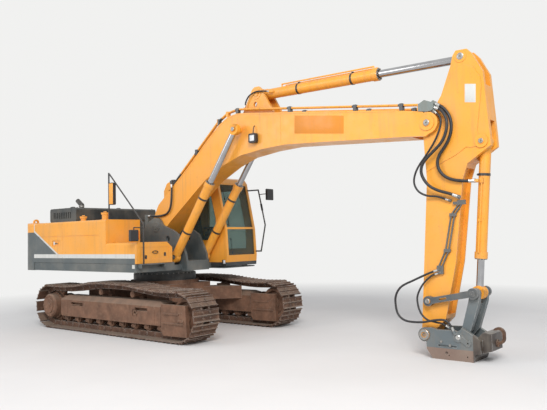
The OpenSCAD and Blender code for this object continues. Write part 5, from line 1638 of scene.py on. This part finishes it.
    def hood_fittings(self) -> None:
        """Grab handles, edge bolts and the dark mesh behind the hood's air slots."""
        forge = Forge()
        for y in (-self.hood_handle_y, self.hood_handle_y):
            forge.sweep(smooth_path([(x, y, self.hood_top + over) for x, over in self.hood_handle], 4), 0.009, 2)
        for x in self.hood_bolt_x:
            for y in self.hood_bolt_y:
                forge.bolt((x, y, self.hood_top), (0.0, 0.0, 1.0), 0.022, 0.009)
        self.shop.piece("hood_handles", forge, "engine_hood", BLACK_PAINT, "black_paint")
        mesh = Forge()
        (x0, x1), y, cell, wire = self.mesh_x, self.mesh_y, self.mesh_cell, self.mesh_wire
        upright, level = self.mesh_wires
        low, high = self.top_z + self.mesh_edge, self.hood_top - self.mesh_edge
        for i in range(upright):
            x = x0 + 0.01 + cell * i
            mesh.box((x, y, low), (x + wire, y + wire, high))
        y += self.mesh_weave
        for i in range(level):
            z = low + 0.01 + cell * i
            mesh.box((x0, y, z), (x1, y + wire, z + wire))
        self.shop.piece("hood_mesh", mesh, "engine_hood", BLACK_PAINT, "black_paint")

    def deck_bolts(self) -> None:
        """Bolts on the covers' tops, plugs on the counterweight, and the boom's pin ends in the frame."""
        forge = Forge()
        up = (0.0, 0.0, 1.0)
        for x in self.deck_bolt_x:
            for y in self.deck_bolt_y:
                forge.bolt((x, y, self.top_z), up, 0.022, 0.009)
        for x in self.weight_plug_x:
            for y in (-self.weight_plug_y, self.weight_plug_y):
                forge.turned([(0.055, -0.002), (0.055, 0.006), (0.046, 0.012), (0.0, 0.012)],
                             (x, y, self.top_z + 0.01), up, 24)
        (foot_x, foot_z), (pin_x, pin_z) = self.foot_pin, self.boom_cylinder_pin
        for side, _ in SIDES:
            out = (0.0, side, 0.0)
            forge.bolt_ring((foot_x, side * 0.315, foot_z), out, 0.078, 4, 0.024, 0.012, 0.5)
            forge.bolt((pin_x, side * 0.465, pin_z), out, 0.034, 0.014)
            forge.nipple((foot_x, side * 0.328, foot_z + 0.012), out)
        self.shop.piece("frame_bolts", forge, "upper", SLATE_PAINT, "slate_paint")

    def step_tread(self) -> None:
        """Round grip studs on the step plate, clear of the rail's post."""
        forge = Forge()
        (x0, y0), (dx, dy) = self.first_stud, self.stud_pitch
        for i in range(self.studs[0]):
            for j in range(self.studs[1]):
                at = Vector((x0 + dx * i, y0 + dy * j, self.step_z - 0.001))
                if math.hypot(at.x - self.rail_post[0], at.y - self.rail_post[1]) > self.stud_clear:
                    forge.bar(at, at + Vector((0.0, 0.0, self.stud_height)), 0.007, 8, 0.005)
        self.shop.piece("step_studs", forge, "upper", SLATE_PAINT, "slate_paint")

    def radiator_slot_shade(self) -> None:
        """Flat near-black panels behind the radiator door's air slots: painted shade seen through them."""
        forge = Forge()
        for x in self.panel_x:
            forge.box((x, self.side_y - self.panel_in[0], self.panel_z[0]),
                      (x + self.panel_length, self.side_y - self.panel_in[1], self.panel_z[1]))
        # Near-black panels behind the slots: painted shade
        self.shop.piece("radiator_slot_shade", forge, "radiator_door", SEAL_RUBBER, "black_paint")

    def exhaust_band(self) -> None:
        """The clamp round the exhaust's foot, with its screw."""
        forge = Forge()
        x, y = self.exhaust
        z = self.hood_top
        forge.turned([(0.054, 0.05), (0.059, 0.05), (0.059, 0.078), (0.054, 0.078)], (x, y, z), (0.0, 0.0, 1.0), 32)
        forge.bar((x - 0.02, y - 0.064, z + 0.064), (x + 0.02, y - 0.064, z + 0.064), 0.007, 8)
        self.shop.piece("exhaust_clamp", forge, "engine_hood", BARE_STEEL, "bare_steel")


# Cab


@dataclass(frozen=True)
class Pane:
    """One windscreen pane: its outer face leans back as it rises."""

    name: str
    foot: Place
    lean: float
    low: float
    high: float

    def way(self) -> Vector:
        """The direction out of the pane."""
        return Vector((1.0, 0.0, self.lean)).normalized()

    def point(self, y: float, z: float, out: float) -> Vector:
        """A point on the pane's outer face.

        Args:
            y: How far left.
            z: How high.
            out: How far in front of the face.

        Returns:
            The point.
        """
        x = self.foot[0] + (self.foot[1] - z) * self.lean
        return Vector((x, y, z)) + self.way() * out


@dataclass
class Cab(Assembly):
    """Window bands, seals, wiper, lamp and controls of the cab."""

    right_y: float = 0.532
    left_y: float = 1.39
    band: float = 0.058
    seal: float = 0.022
    right_window: tuple[Place, ...] = ((-0.42, 1.98), (-0.42, 2.88), (0.82, 2.88), (1.0, 2.2),
                                       (1.01, 1.76), (0.25, 1.76))
    door_window: tuple[Place, ...] = ((-0.09, 2.05), (-0.09, 2.82), (0.85, 2.82), (1.045, 1.96),
                                      (1.055, 1.56), (0.5, 1.56))
    upper_pane: Pane = Pane("windscreen", (1.041, 2.93), 0.2165, 2.01, 2.9)
    lower_pane: Pane = Pane("low_screen", (1.251, 1.98), 0.06, 1.44, 1.95)
    pane_y: Span = (0.57, 1.37)
    rear_x: float = -0.561
    rear_window: tuple[Place, Place] = ((0.62, 2.12), (1.32, 2.82))
    seat_y: float = 0.97
    console_y: float = 0.32
    lever_x: float = 0.36
    lever_top: float = 1.948
    # Lowest and highest corner, or the two ends, measured from each armrest's or pedal's middle
    armrest: Ends = ((-0.13, -0.036, 2.002), (0.17, 0.036, 2.05))
    armrest_post: Ends = ((-0.01, 0.0, 1.94), (-0.01, 0.0, 2.01))
    pedal_y: Span = (0.885, 1.025)
    pedal: Ends = ((0.955, -0.045, 1.372), (1.06, 0.045, 1.384))
    pedal_lever: Ends = ((0.99, 0.0, 1.38), (0.93, 0.0, 1.76))
    pedal_knob: Point = (0.93, 0.0, 1.765)
    screen: Ends = ((0.905, 0.64, 1.94), (0.945, 0.86, 2.11))
    screen_post: Ends = ((0.93, 0.7, 1.66), (0.928, 0.72, 1.95))
    lamp_housing: Ends = ((1.225, 0.44, 1.268), (1.258, 0.512, 1.352))
    lamp_screw: Ends = ((1.235, 0.506, 1.31), (1.235, 0.52, 1.31))
    lamp_lens: Ends = ((1.256, 0.448, 1.276), (1.263, 0.504, 1.344))
    # The wiper's places as [y, z, distance in front of the pane]
    wiper_foot: Point = (0.64, 2.06, 0.004)
    wiper_tip: Point = (0.655, 2.64, 0.026)
    wiper_blade: Ends = ((0.656, 2.33, 0.012), (0.65, 2.86, 0.012))
    wiper_link: Ends = ((0.654, 2.58, 0.012), (0.655, 2.62, 0.026))
    door_lock: Place = (-0.38, 1.78)
    door_face: float = 1.4305
    # Radius and height of the turned lever grip, bellows and pedal knob
    grip: tuple[Place, ...] = ((0.0, -0.03), (0.02, -0.028), (0.024, 0.0), (0.021, 0.04), (0.027, 0.075),
                               (0.024, 0.1), (0.012, 0.114), (0.0, 0.115))
    boot: tuple[Place, ...] = ((0.046, 0.0), (0.04, 0.03), (0.034, 0.032), (0.03, 0.055), (0.022, 0.058),
                               (0.02, 0.085))
    knob: tuple[Place, ...] = ((0.0, -0.02), (0.018, -0.015), (0.02, 0.01), (0.012, 0.03), (0.0, 0.032))

    def build(self) -> None:
        """Make the cab's pieces."""
        self.side_window("right_window", "upper", self.right_window, self.right_y)
        self.side_window("door_window", "cab_door", self.door_window, self.left_y)
        self.front_windows()
        self.rear_window_band()
        self.wiper()
        self.foot_lamp()
        self.controls()
        self.lock()

    def side_window(self, name: str, body: str, window: Sequence[Place], y: float) -> None:
        """A printed border on the glass's right face and a seal ring round it.

        Args:
            name: The window's name.
            body: The body the glass rides on.
            window: The opening's corners in side view.
            y: The face the band lies on.
        """
        corners = [Vector((x, y, z)) for x, z in window]
        band = Forge()
        band.border(corners, self.band, (0.0, -0.003, 0.0))
        self.shop.piece(f"{name}_band", band, body, BLACK_PLASTIC, "black_paint")
        seal = Forge()
        seal.border([c + Vector((0.0, -0.023, 0.0)) for c in corners], self.seal, (0.0, -0.006, 0.0))
        self.shop.piece(f"{name}_seal", seal, body, SEAL_RUBBER, "hose_rubber")

    def front_windows(self) -> None:
        """Borders on the two windscreen panes."""
        right, left = self.pane_y
        for pane in (self.upper_pane, self.lower_pane):
            corners = [pane.point(y, z, -0.011) for y, z in ((right, pane.low), (left, pane.low), (left, pane.high),
                                                             (right, pane.high))]
            band = Forge()
            band.border(corners, 0.04, pane.way() * -0.003)
            self.shop.piece(f"{pane.name}_band", band, "upper", BLACK_PLASTIC, "black_paint")

    def rear_window_band(self) -> None:
        """The border of the rear window."""
        band = Forge()
        (y0, z0), (y1, z1) = self.rear_window
        band.border([Vector((self.rear_x, y, z)) for y, z in ((y0, z0), (y1, z0), (y1, z1), (y0, z1))], 0.045,
                    (0.003, 0.0, 0.0))
        self.shop.piece("rear_window_band", band, "upper", BLACK_PLASTIC, "black_paint")

    def wiper(self) -> None:
        """The wiper parked along the windscreen's right edge."""
        forge = Forge()
        pane = self.upper_pane
        foot, tip = pane.point(*self.wiper_foot), pane.point(*self.wiper_tip)
        forge.turned([(0.02, -0.004), (0.02, 0.016), (0.014, 0.022), (0.0, 0.022)], foot, (1.0, 0.0, pane.lean), 20)
        forge.bar(foot + Vector((0.016, 0.0, 0.0)), tip, 0.0065, 8, 0.0045)
        for start, end in (self.wiper_blade, self.wiper_link):
            forge.bar(pane.point(*start), pane.point(*end), 0.005, 6)
        self.shop.piece("wiper", forge, "upper", BLACK_PLASTIC, "black_paint")

    def foot_lamp(self) -> None:
        """The small bright lamp at the cab's front bottom corner."""
        housing, lens = Forge(), Forge()
        housing.box(*self.lamp_housing, 0.006)
        housing.bar(*self.lamp_screw, 0.012, 10)
        lens.box(*self.lamp_lens, 0.004)
        self.shop.piece("foot_lamp_housing", housing, "upper", BLACK_PAINT, "black_paint")
        self.shop.piece("foot_lamp_lens", lens, "upper", LENS, "glazing")

    def controls(self) -> None:
        """Lever grips, armrests, pedals and the monitor."""
        grips, pads, monitor = Forge(), Forge(), Forge()
        up = (0.0, 0.0, 1.0)
        for side, _ in SIDES:
            y = self.seat_y + side * self.console_y
            grips.turned(self.grip, (self.lever_x + 0.012, y, 2.1), (0.12, 0.0, 1.0), 20)
            grips.turned(self.boot, (self.lever_x, y, self.lever_top), up, 20)
            pads.box(*moved_left(y, *self.armrest), 0.018)
            pads.bar(*moved_left(y, *self.armrest_post), 0.02, 12)
        for y in self.pedal_y:
            grips.box(*moved_left(y, *self.pedal), 0.003)
            grips.bar(*moved_left(y, *self.pedal_lever), 0.009, 8)
            grips.turned(self.knob, *moved_left(y, self.pedal_knob), up, 16)
        monitor.box(*self.screen, 0.008)
        monitor.bar(*self.screen_post, 0.014, 10)
        self.shop.piece("lever_grips", grips, "upper", SEAL_RUBBER, "black_paint")
        self.shop.piece("armrests", pads, "upper", BLACK_PLASTIC, "black_paint")
        self.shop.piece("monitor", monitor, "upper", BLACK_PLASTIC, "black_paint")

    def lock(self) -> None:
        """The door's lock barrel."""
        forge = Forge()
        x, z = self.door_lock
        forge.turned([(0.016, -0.004), (0.016, 0.002), (0.011, 0.004), (0.0, 0.004)], (x, self.door_face, z),
                     (0.0, 1.0, 0.0), 18)
        self.shop.piece("door_lock", forge, "cab_door", BARE_STEEL, "bare_steel")


@dataclass(frozen=True)
class Cover:
    """One padded cover of the seat, as the block that it is blown up from."""

    name: str
    low: Place
    high: Place
    half_width: float
    pressure: float
    leans: bool = False


@dataclass
class Seat(Assembly):
    """The operator's seat: three cloth covers over their padding, on a rubber bellows."""

    middle_y: float = 0.97
    grid: float = 0.0065
    coarse_grid: float = 0.016
    corner_r: float = 0.03
    lean: float = -12.0
    hinge: Place = (-0.13, 1.8)
    last_frame: int = 14
    farthest: float = 0.022
    fill: float = 0.9
    folds: int = 6
    base: Ends = ((-0.07, -0.18, 1.36), (0.35, 0.18, 1.68))
    fold_out: float = 0.016
    fold_pitch: float = 0.044
    fold_high: float = 0.026
    first_fold: float = 1.372
    post_y: float = 0.06
    post: Ends = ((-0.238, 0.0, 2.38), (-0.262, 0.0, 2.52))
    covers: tuple[Cover, ...] = (
        Cover("seat_cushion", (-0.11, 1.69), (0.41, 1.825), 0.245, 4.0),
        Cover("seat_back", (-0.07, 1.8), (0.05, 2.44), 0.235, 4.0, leans=True),
        Cover("seat_headrest", (-0.05, 2.455), (0.04, 2.625), 0.13, 3.0, leans=True))

    def build(self) -> None:
        """Make bellows, cushion, backrest, headrest and its posts."""
        bellows = Forge()
        (x0, y0, z0), (x1, y1, z1) = self.base
        y0, y1 = self.middle_y + y0, self.middle_y + y1
        grow = self.fold_out
        for i in range(self.folds):
            z = self.first_fold + self.fold_pitch * i
            bellows.box((x0 - grow, y0 - grow, z), (x1 + grow, y1 + grow, z + self.fold_high), 0.01)
        bellows.box((x0, y0, z0), (x1, y1, z1), 0.01)
        self.shop.piece("seat_bellows", bellows, "upper", SEAL_RUBBER, "hose_rubber")
        for cover in self.covers:
            self.blow_up(cover)
        posts = Forge()
        for side, _ in SIDES:
            posts.bar(*moved_left(self.middle_y + side * self.post_y, *self.post), 0.008, 10)
        self.shop.piece("headrest_posts", posts, "upper", BARE_STEEL, "bare_steel")

    def block(self, cover: Cover) -> Forge:
        """The rounded block a cover starts as, at its place.

        Args:
            cover: The cover.

        Returns:
            Its shape.
        """
        forge = Forge()
        forge.box((cover.low[0], self.middle_y - cover.half_width, cover.low[1]),
                  (cover.high[0], self.middle_y + cover.half_width, cover.high[1]), self.corner_r, 3)
        if cover.leans:
            verts = forge.shape.verts
            turn = Matrix.Rotation(math.radians(self.lean), 3, "Y")
            bmesh.ops.translate(forge.shape, verts=verts, vec=(self.hinge[0] - cover.low[0] - 0.02, 0.0, 0.0))
            bmesh.ops.rotate(forge.shape, verts=verts, cent=(self.hinge[0], self.middle_y, self.hinge[1]), matrix=turn)
        return forge

    def blow_up(self, cover: Cover) -> None:
        """Blow up one padded cover and hand it over.

        Args:
            cover: The cover.
        """
        made = self.shop.finish_object(cover.name, self.block(cover).shape)
        remesh = made.modifiers.new("grid", "REMESH")
        remesh.mode = "VOXEL"
        remesh.voxel_size = self.grid
        bpy.context.view_layer.objects.active = made
        made.select_set(True)
        bpy.ops.object.modifier_apply(modifier="grid")
        self.inflate(made, cover.pressure)
        smooth = made.modifiers.new("smooth", "SUBSURF")
        smooth.levels = 1
        smooth.render_levels = 1
        bpy.ops.object.modifier_apply(modifier="smooth")
        made.select_set(False)
        self.shop.dress(made, SEAT_CLOTH, "seat_cloth", 180.0)
        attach(made, "upper")
        if cover.name == "seat_cushion":
            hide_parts("seat")

    def inflate(self, made: bpy.types.Object, pressure: float) -> None:
        """Run the cover as a cloth with air inside, and keep its last shape.

        Args:
            made: The cover.
            pressure: The push from inside.
        """
        scene = bpy.context.scene
        cloth = made.modifiers.new("cover", "CLOTH")
        settings = cloth.settings
        settings.use_pressure = True
        settings.uniform_pressure_force = pressure
        settings.effector_weights.gravity = 0.0
        settings.tension_stiffness = 18
        settings.compression_stiffness = 12
        settings.shear_stiffness = 6
        settings.bending_stiffness = 0.6
        settings.quality = 5
        cloth.collision_settings.use_collision = False
        cloth.collision_settings.use_self_collision = False
        cloth.point_cache.frame_start = 1
        cloth.point_cache.frame_end = self.last_frame
        before = [v.co.copy() for v in made.data.vertices]
        for frame in range(1, self.last_frame + 1):
            scene.frame_set(frame)
        bpy.ops.object.modifier_apply(modifier="cover")
        scene.frame_set(1)
        for vertex, old in zip(made.data.vertices, before):
            move = vertex.co - old
            if move.length > self.farthest:
                vertex.co = old + move.normalized() * self.farthest


# Front


@dataclass(frozen=True)
class PinEnd:
    """A pin's end: retaining plate, bolts and a grease nipple."""

    x: float
    z: float
    face: float
    radius: float
    bolts: int = 2
    turned_by: float = 0.6

    def add(self, forge: Forge, side: int) -> None:
        """Add the end to a shape.

        Args:
            forge: The shape it joins.
            side: -1 for the right end, 1 for the left.
        """
        out = Vector((0.0, side, 0.0))
        at = Vector((self.x, side * self.face, self.z))
        r = self.radius
        forge.turned([(r * 0.93, -0.002), (r * 0.93, 0.002), (r * 0.8, 0.006), (r * 0.3, 0.006), (r * 0.24, 0.002),
                      (0.0, 0.002)], at, out, 32)
        forge.bolt_ring(at + out * 0.004, out, r * 0.6, self.bolts, r * 0.36, r * 0.18, self.turned_by)
        forge.nipple(at + out * 0.002, out)


@dataclass
class Cylinder:
    """The fittings of one hydraulic cylinder: head bolts, wiper seal and bands."""

    name: str
    barrel_body: str
    base: Place
    eye: Place
    y: float
    radius: float
    length: float
    rod_share: float = 0.66
    head_lip: float = 0.012
    head_bolts: int = 12
    bands: tuple[float, ...] = (0.35, 0.8)
    band_half: float = 0.018
    lug_height: float = 0.022

    def build(self, shop: Workshop) -> None:
        """Make the cylinder's pieces.

        Args:
            shop: The workshop.
        """
        base = Vector((self.base[0], self.y, self.base[1]))
        eye = Vector((self.eye[0], self.y, self.eye[1]))
        way = (eye - base).normalized()
        head = base + way * self.length
        forge, seal, straps = Forge(), Forge(), Forge()
        forge.bolt_ring(head, way, self.radius + self.head_lip - 0.02, self.head_bolts, 0.026, 0.015)
        rod_r = self.radius * self.rod_share
        seal.turned([(rod_r + 0.0006, 0.0), (rod_r + 0.02, 0.0), (rod_r + 0.018, 0.008), (rod_r + 0.003, 0.012),
                     (rod_r + 0.0006, 0.012)], head, way, 36)
        inner, outer = self.radius + 0.0005, self.radius + 0.005
        for share in self.bands:
            at = base + way * self.length * share
            straps.turned([(inner, -self.band_half), (outer, -self.band_half), (outer, self.band_half),
                           (inner, self.band_half)], at, way, 48)
            up = way.cross(Vector((0.0, 1.0, 0.0))).normalized()
            if up.z < 0:
                up = -up
            straps.box_on(at, way, up, self.radius, 0.03, 0.044, self.lug_height)
            forge.bolt(at + up * (self.radius + self.lug_height), up, 0.02, 0.01, washer=False)
        shop.piece(f"{self.name}_head_bolts", forge, self.barrel_body, BARE_STEEL, "bare_steel")
        shop.piece(f"{self.name}_wiper_seal", seal, self.barrel_body, SEAL_RUBBER, "hose_rubber")
        shop.piece(f"{self.name}_bands", straps, self.barrel_body, BLACK_PAINT, "black_paint")


@dataclass
class Front(Assembly):
    """Boom, stick and coupler: plates, beads, lamps, pins and bolts."""

    boom_half: float = 0.245
    stick_half: float = 0.165
    doubler: float = 0.01
    coupler_half: float = 0.26
    # Piece, body, finish and ends of each group of pins
    pins: tuple[tuple[str, str, Metal, tuple[PinEnd, ...]], ...] = (
        ("boom_pin_ends", "boom", BARE_STEEL, (PinEnd(6.09, 3.4, 0.275, 0.05), PinEnd(2.43, 3.75, 0.475, 0.042))),
        ("stick_pin_ends", "stick", BARE_STEEL,
         (PinEnd(5.945, 0.33, 0.272, 0.038), PinEnd(6.01, 0.81, 0.273, 0.038))),
        ("link_pin_ends", "idler_links", BARE_STEEL, (PinEnd(6.68, 0.94, 0.259, 0.038),)),
        ("coupler_pin_ends", "coupler", ZINC, (PinEnd(6.455, 0.33, 0.28, 0.038),)),
        ("stick_head_pin_ends", "stick", BARE_STEEL,
         (PinEnd(6.855, 3.055, 0.199, 0.038), PinEnd(6.595, 4.3, 0.1735, 0.055))))
    plate_corners: tuple[Place, ...] = ((3.672, 3.848), (4.66, 3.708), (4.651, 3.419), (3.662, 3.541))
    bead_x: float = 3.362
    bead_from: float = 3.4
    bead_step: float = 0.009
    bead_steps: int = 60
    lamp_face: float = 0.337
    lamp_low: Place = (2.71, 3.495)
    lamp_high: Place = (2.84, 3.625)
    lamp_rim: float = 0.014
    lens_in: float = 0.013
    # x, z and how far the boom's top leans, at each pipe clamp
    clamps: tuple[Point, ...] = ((1.25, 3.405, 0.71), (3.56, 3.928, -0.13), (4.87, 3.755, -0.13),
                                 (5.68, 3.648, -0.19))
    clamp_y: float = 0.2175
    clamp_height: float = 0.052
    blank_plate: tuple[Place, ...] = ((6.652, 3.889), (6.81, 3.861), (6.799, 3.602), (6.641, 3.627))
    coupler_bolts: tuple[Place, ...] = ((6.2, 0.25), (6.62, 0.265), (6.33, 0.205))
    stick_tip: Place = (5.945, 0.33)
    tip_boss: float = 0.278
    tip_ring: tuple[Place, ...] = ((0.04, -0.001), (0.077, -0.001), (0.077, 0.005), (0.072, 0.009), (0.04, 0.009))
    cylinders: tuple[Cylinder, ...] = (
        Cylinder("boom_cylinder_right", "boom_barrels", (0.78, 1.44), (2.43, 3.75), -0.4, 0.084, 1.7),
        Cylinder("boom_cylinder_left", "boom_barrels", (0.78, 1.44), (2.43, 3.75), 0.4, 0.084, 1.7),
        Cylinder("stick_cylinder", "stick_barrel", (2.75, 4.385), (6.595, 4.3), 0.0, 0.092, 2.44),
        Cylinder("tool_cylinder", "tool_barrel", (6.855, 3.055), (6.68, 0.94), 0.0, 0.078, 1.64, bands=(0.28,)))

    def build(self) -> None:
        """Make the front's pieces."""
        self.pin_ends()
        self.boom_plate()
        self.boom_bead()
        self.boom_lamp()
        self.pipe_clamp_bolts()
        self.stick_plate()
        self.coupler_fittings()
        for cylinder in self.cylinders:
            cylinder.build(self.shop)

    def pin_ends(self) -> None:
        """Pin ends on boom, stick, links and coupler."""
        for name, body, finish, ends in self.pins:
            forge = Forge()
            for end in ends:
                for side, _ in SIDES:
                    end.add(forge, side)
            self.shop.piece(name, forge, body, finish, "bare_steel")

    def boom_plate(self) -> None:
        """The deeper orange plate on the boom's right side."""
        plate = Forge()
        plate.plate([Vector((x, -self.boom_half, z)) for x, z in self.plate_corners], (0.0, -0.0022, 0.0), 0.0008)
        self.shop.piece("boom_plate", plate, "boom", FRONT_PLATE_ORANGE, "orange_paint")

    def boom_bead(self) -> None:
        """Weld beads across the boom's sides where its plates meet."""
        forge = Forge()
        for side, _ in SIDES:
            y = side * (self.boom_half + 0.0005)
            path = [(self.bead_x + 0.0008 * math.sin(i * 1.9), y, self.bead_from + self.bead_step * i)
                    for i in range(self.bead_steps)]
            forge.sweep(path, 0.0045, 1)
        self.shop.piece("boom_weld_beads", forge, "boom", FRONT_ORANGE, "orange_paint")

    def boom_lamp(self) -> None:
        """The rim and lens of the boom's work lamp."""
        rim, lens = Forge(), Forge()
        (x0, z0), (x1, z1) = self.lamp_low, self.lamp_high
        rim.border(side_rectangle(-self.lamp_face, self.lamp_low, self.lamp_high), self.lamp_rim, (0.0, -0.006, 0.0))
        lens.plate(side_rectangle(-self.lamp_face - 0.0002, (x0 + self.lens_in, z0 + self.lens_in),
                                  (x1 - self.lens_in, z1 - self.lens_in)), (0.0, -0.004, 0.0), 0.001)
        self.shop.piece("boom_lamp_rim", rim, "boom", BLACK_PAINT, "black_paint")
        self.shop.piece("boom_lamp_lens", lens, "boom", LENS, "glazing")

    def pipe_clamp_bolts(self) -> None:
        """The bolt in each pipe clamp along the boom's top."""
        forge = Forge()
        for x, z, lean in self.clamps:
            up = Vector((-lean, 0.0, 1.0)).normalized()
            for side, _ in SIDES:
                at = Vector((x, side * self.clamp_y, z)) + up * self.clamp_height
                forge.bolt(at, up, 0.022, 0.01)
        self.shop.piece("pipe_clamp_bolts", forge, "boom", BARE_STEEL, "bare_steel")

    def stick_plate(self) -> None:
        """The blank white plate on the stick's right doubler."""
        y = -(self.stick_half + self.doubler)
        plate = Forge()
        plate.plate([Vector((x, y, z)) for x, z in self.blank_plate], (0.0, -0.002, 0.0), 0.0006)
        self.shop.piece("stick_blank_plate", plate, "stick", WHITE_PLATE, "slate_paint")

    def coupler_fittings(self) -> None:
        """Bolts on the coupler's sides and a ring round its rear pin."""
        forge = Forge()
        for side, _ in SIDES:
            out = (0.0, side, 0.0)
            for x, z in self.coupler_bolts:
                forge.bolt((x, side * self.coupler_half, z), out, 0.03, 0.014)
            forge.turned(self.tip_ring, (self.stick_tip[0], side * self.tip_boss, self.stick_tip[1]), out, 36)
        self.shop.piece("coupler_bolts", forge, "coupler", BARE_STEEL, "bare_steel")


# Mirrors and rails


@dataclass
class Mirrors(Assembly):
    """Mirror glass, the tall mirror's back, a side reflector and the rails' grip."""

    # Low and high corner of each mirror's glass
    glasses: tuple[Ends, ...] = (
        ((-0.068, -1.2705, 2.494), (0.058, -1.2675, 2.896)), ((0.8935, -1.598, 1.777), (0.8965, -1.45, 1.963)),
        ((1.5635, 1.462, 2.59), (1.5665, 1.638, 2.8)))
    tall_back: Ends = ((-0.066, -1.3345, 2.494), (0.056, -1.3295, 2.896))
    reflector: Ends = ((0.905, -1.437, 1.8), (0.945, -1.405, 1.95))
    grip: Ends = ((1.475, 1.44, 2.36), (1.443, 1.44, 2.5))
    grip_r: float = 0.022

    def build(self) -> None:
        """Make the pieces round the mirrors and rails."""
        back, glass, reflector, grip = Forge(), Forge(), Forge(), Forge()
        back.box(*self.tall_back, 0.002)
        self.shop.piece("tall_mirror_back", back, "upper", PLAIN_ORANGE, "orange_paint")
        for low, high in self.glasses:
            glass.box(low, high, 0.001, 1)
        self.shop.piece("mirror_glass", glass, "upper", MIRROR, "bare_steel")
        reflector.box(*self.reflector, 0.006)
        self.shop.piece("side_reflector", reflector, "upper", AMBER, "glazing")
        grip.bar(*self.grip, self.grip_r, 20)
        self.shop.piece("rail_grip", grip, "upper", SEAL_RUBBER, "hose_rubber")


def main() -> None:
    """Dress the machine."""
    logging.basicConfig(level=logging.INFO, format="%(message)s")
    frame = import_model()
    shop = Workshop(frame, FinishRack())
    Studio().build()
    Hoses(shop).build()
    shop.paint_nodes()
    for assembly in (Tracks, Undercarriage, House, Cab, Seat, Front, Mirrors):
        assembly(shop).build()


if __name__ == "__main__":
    main()
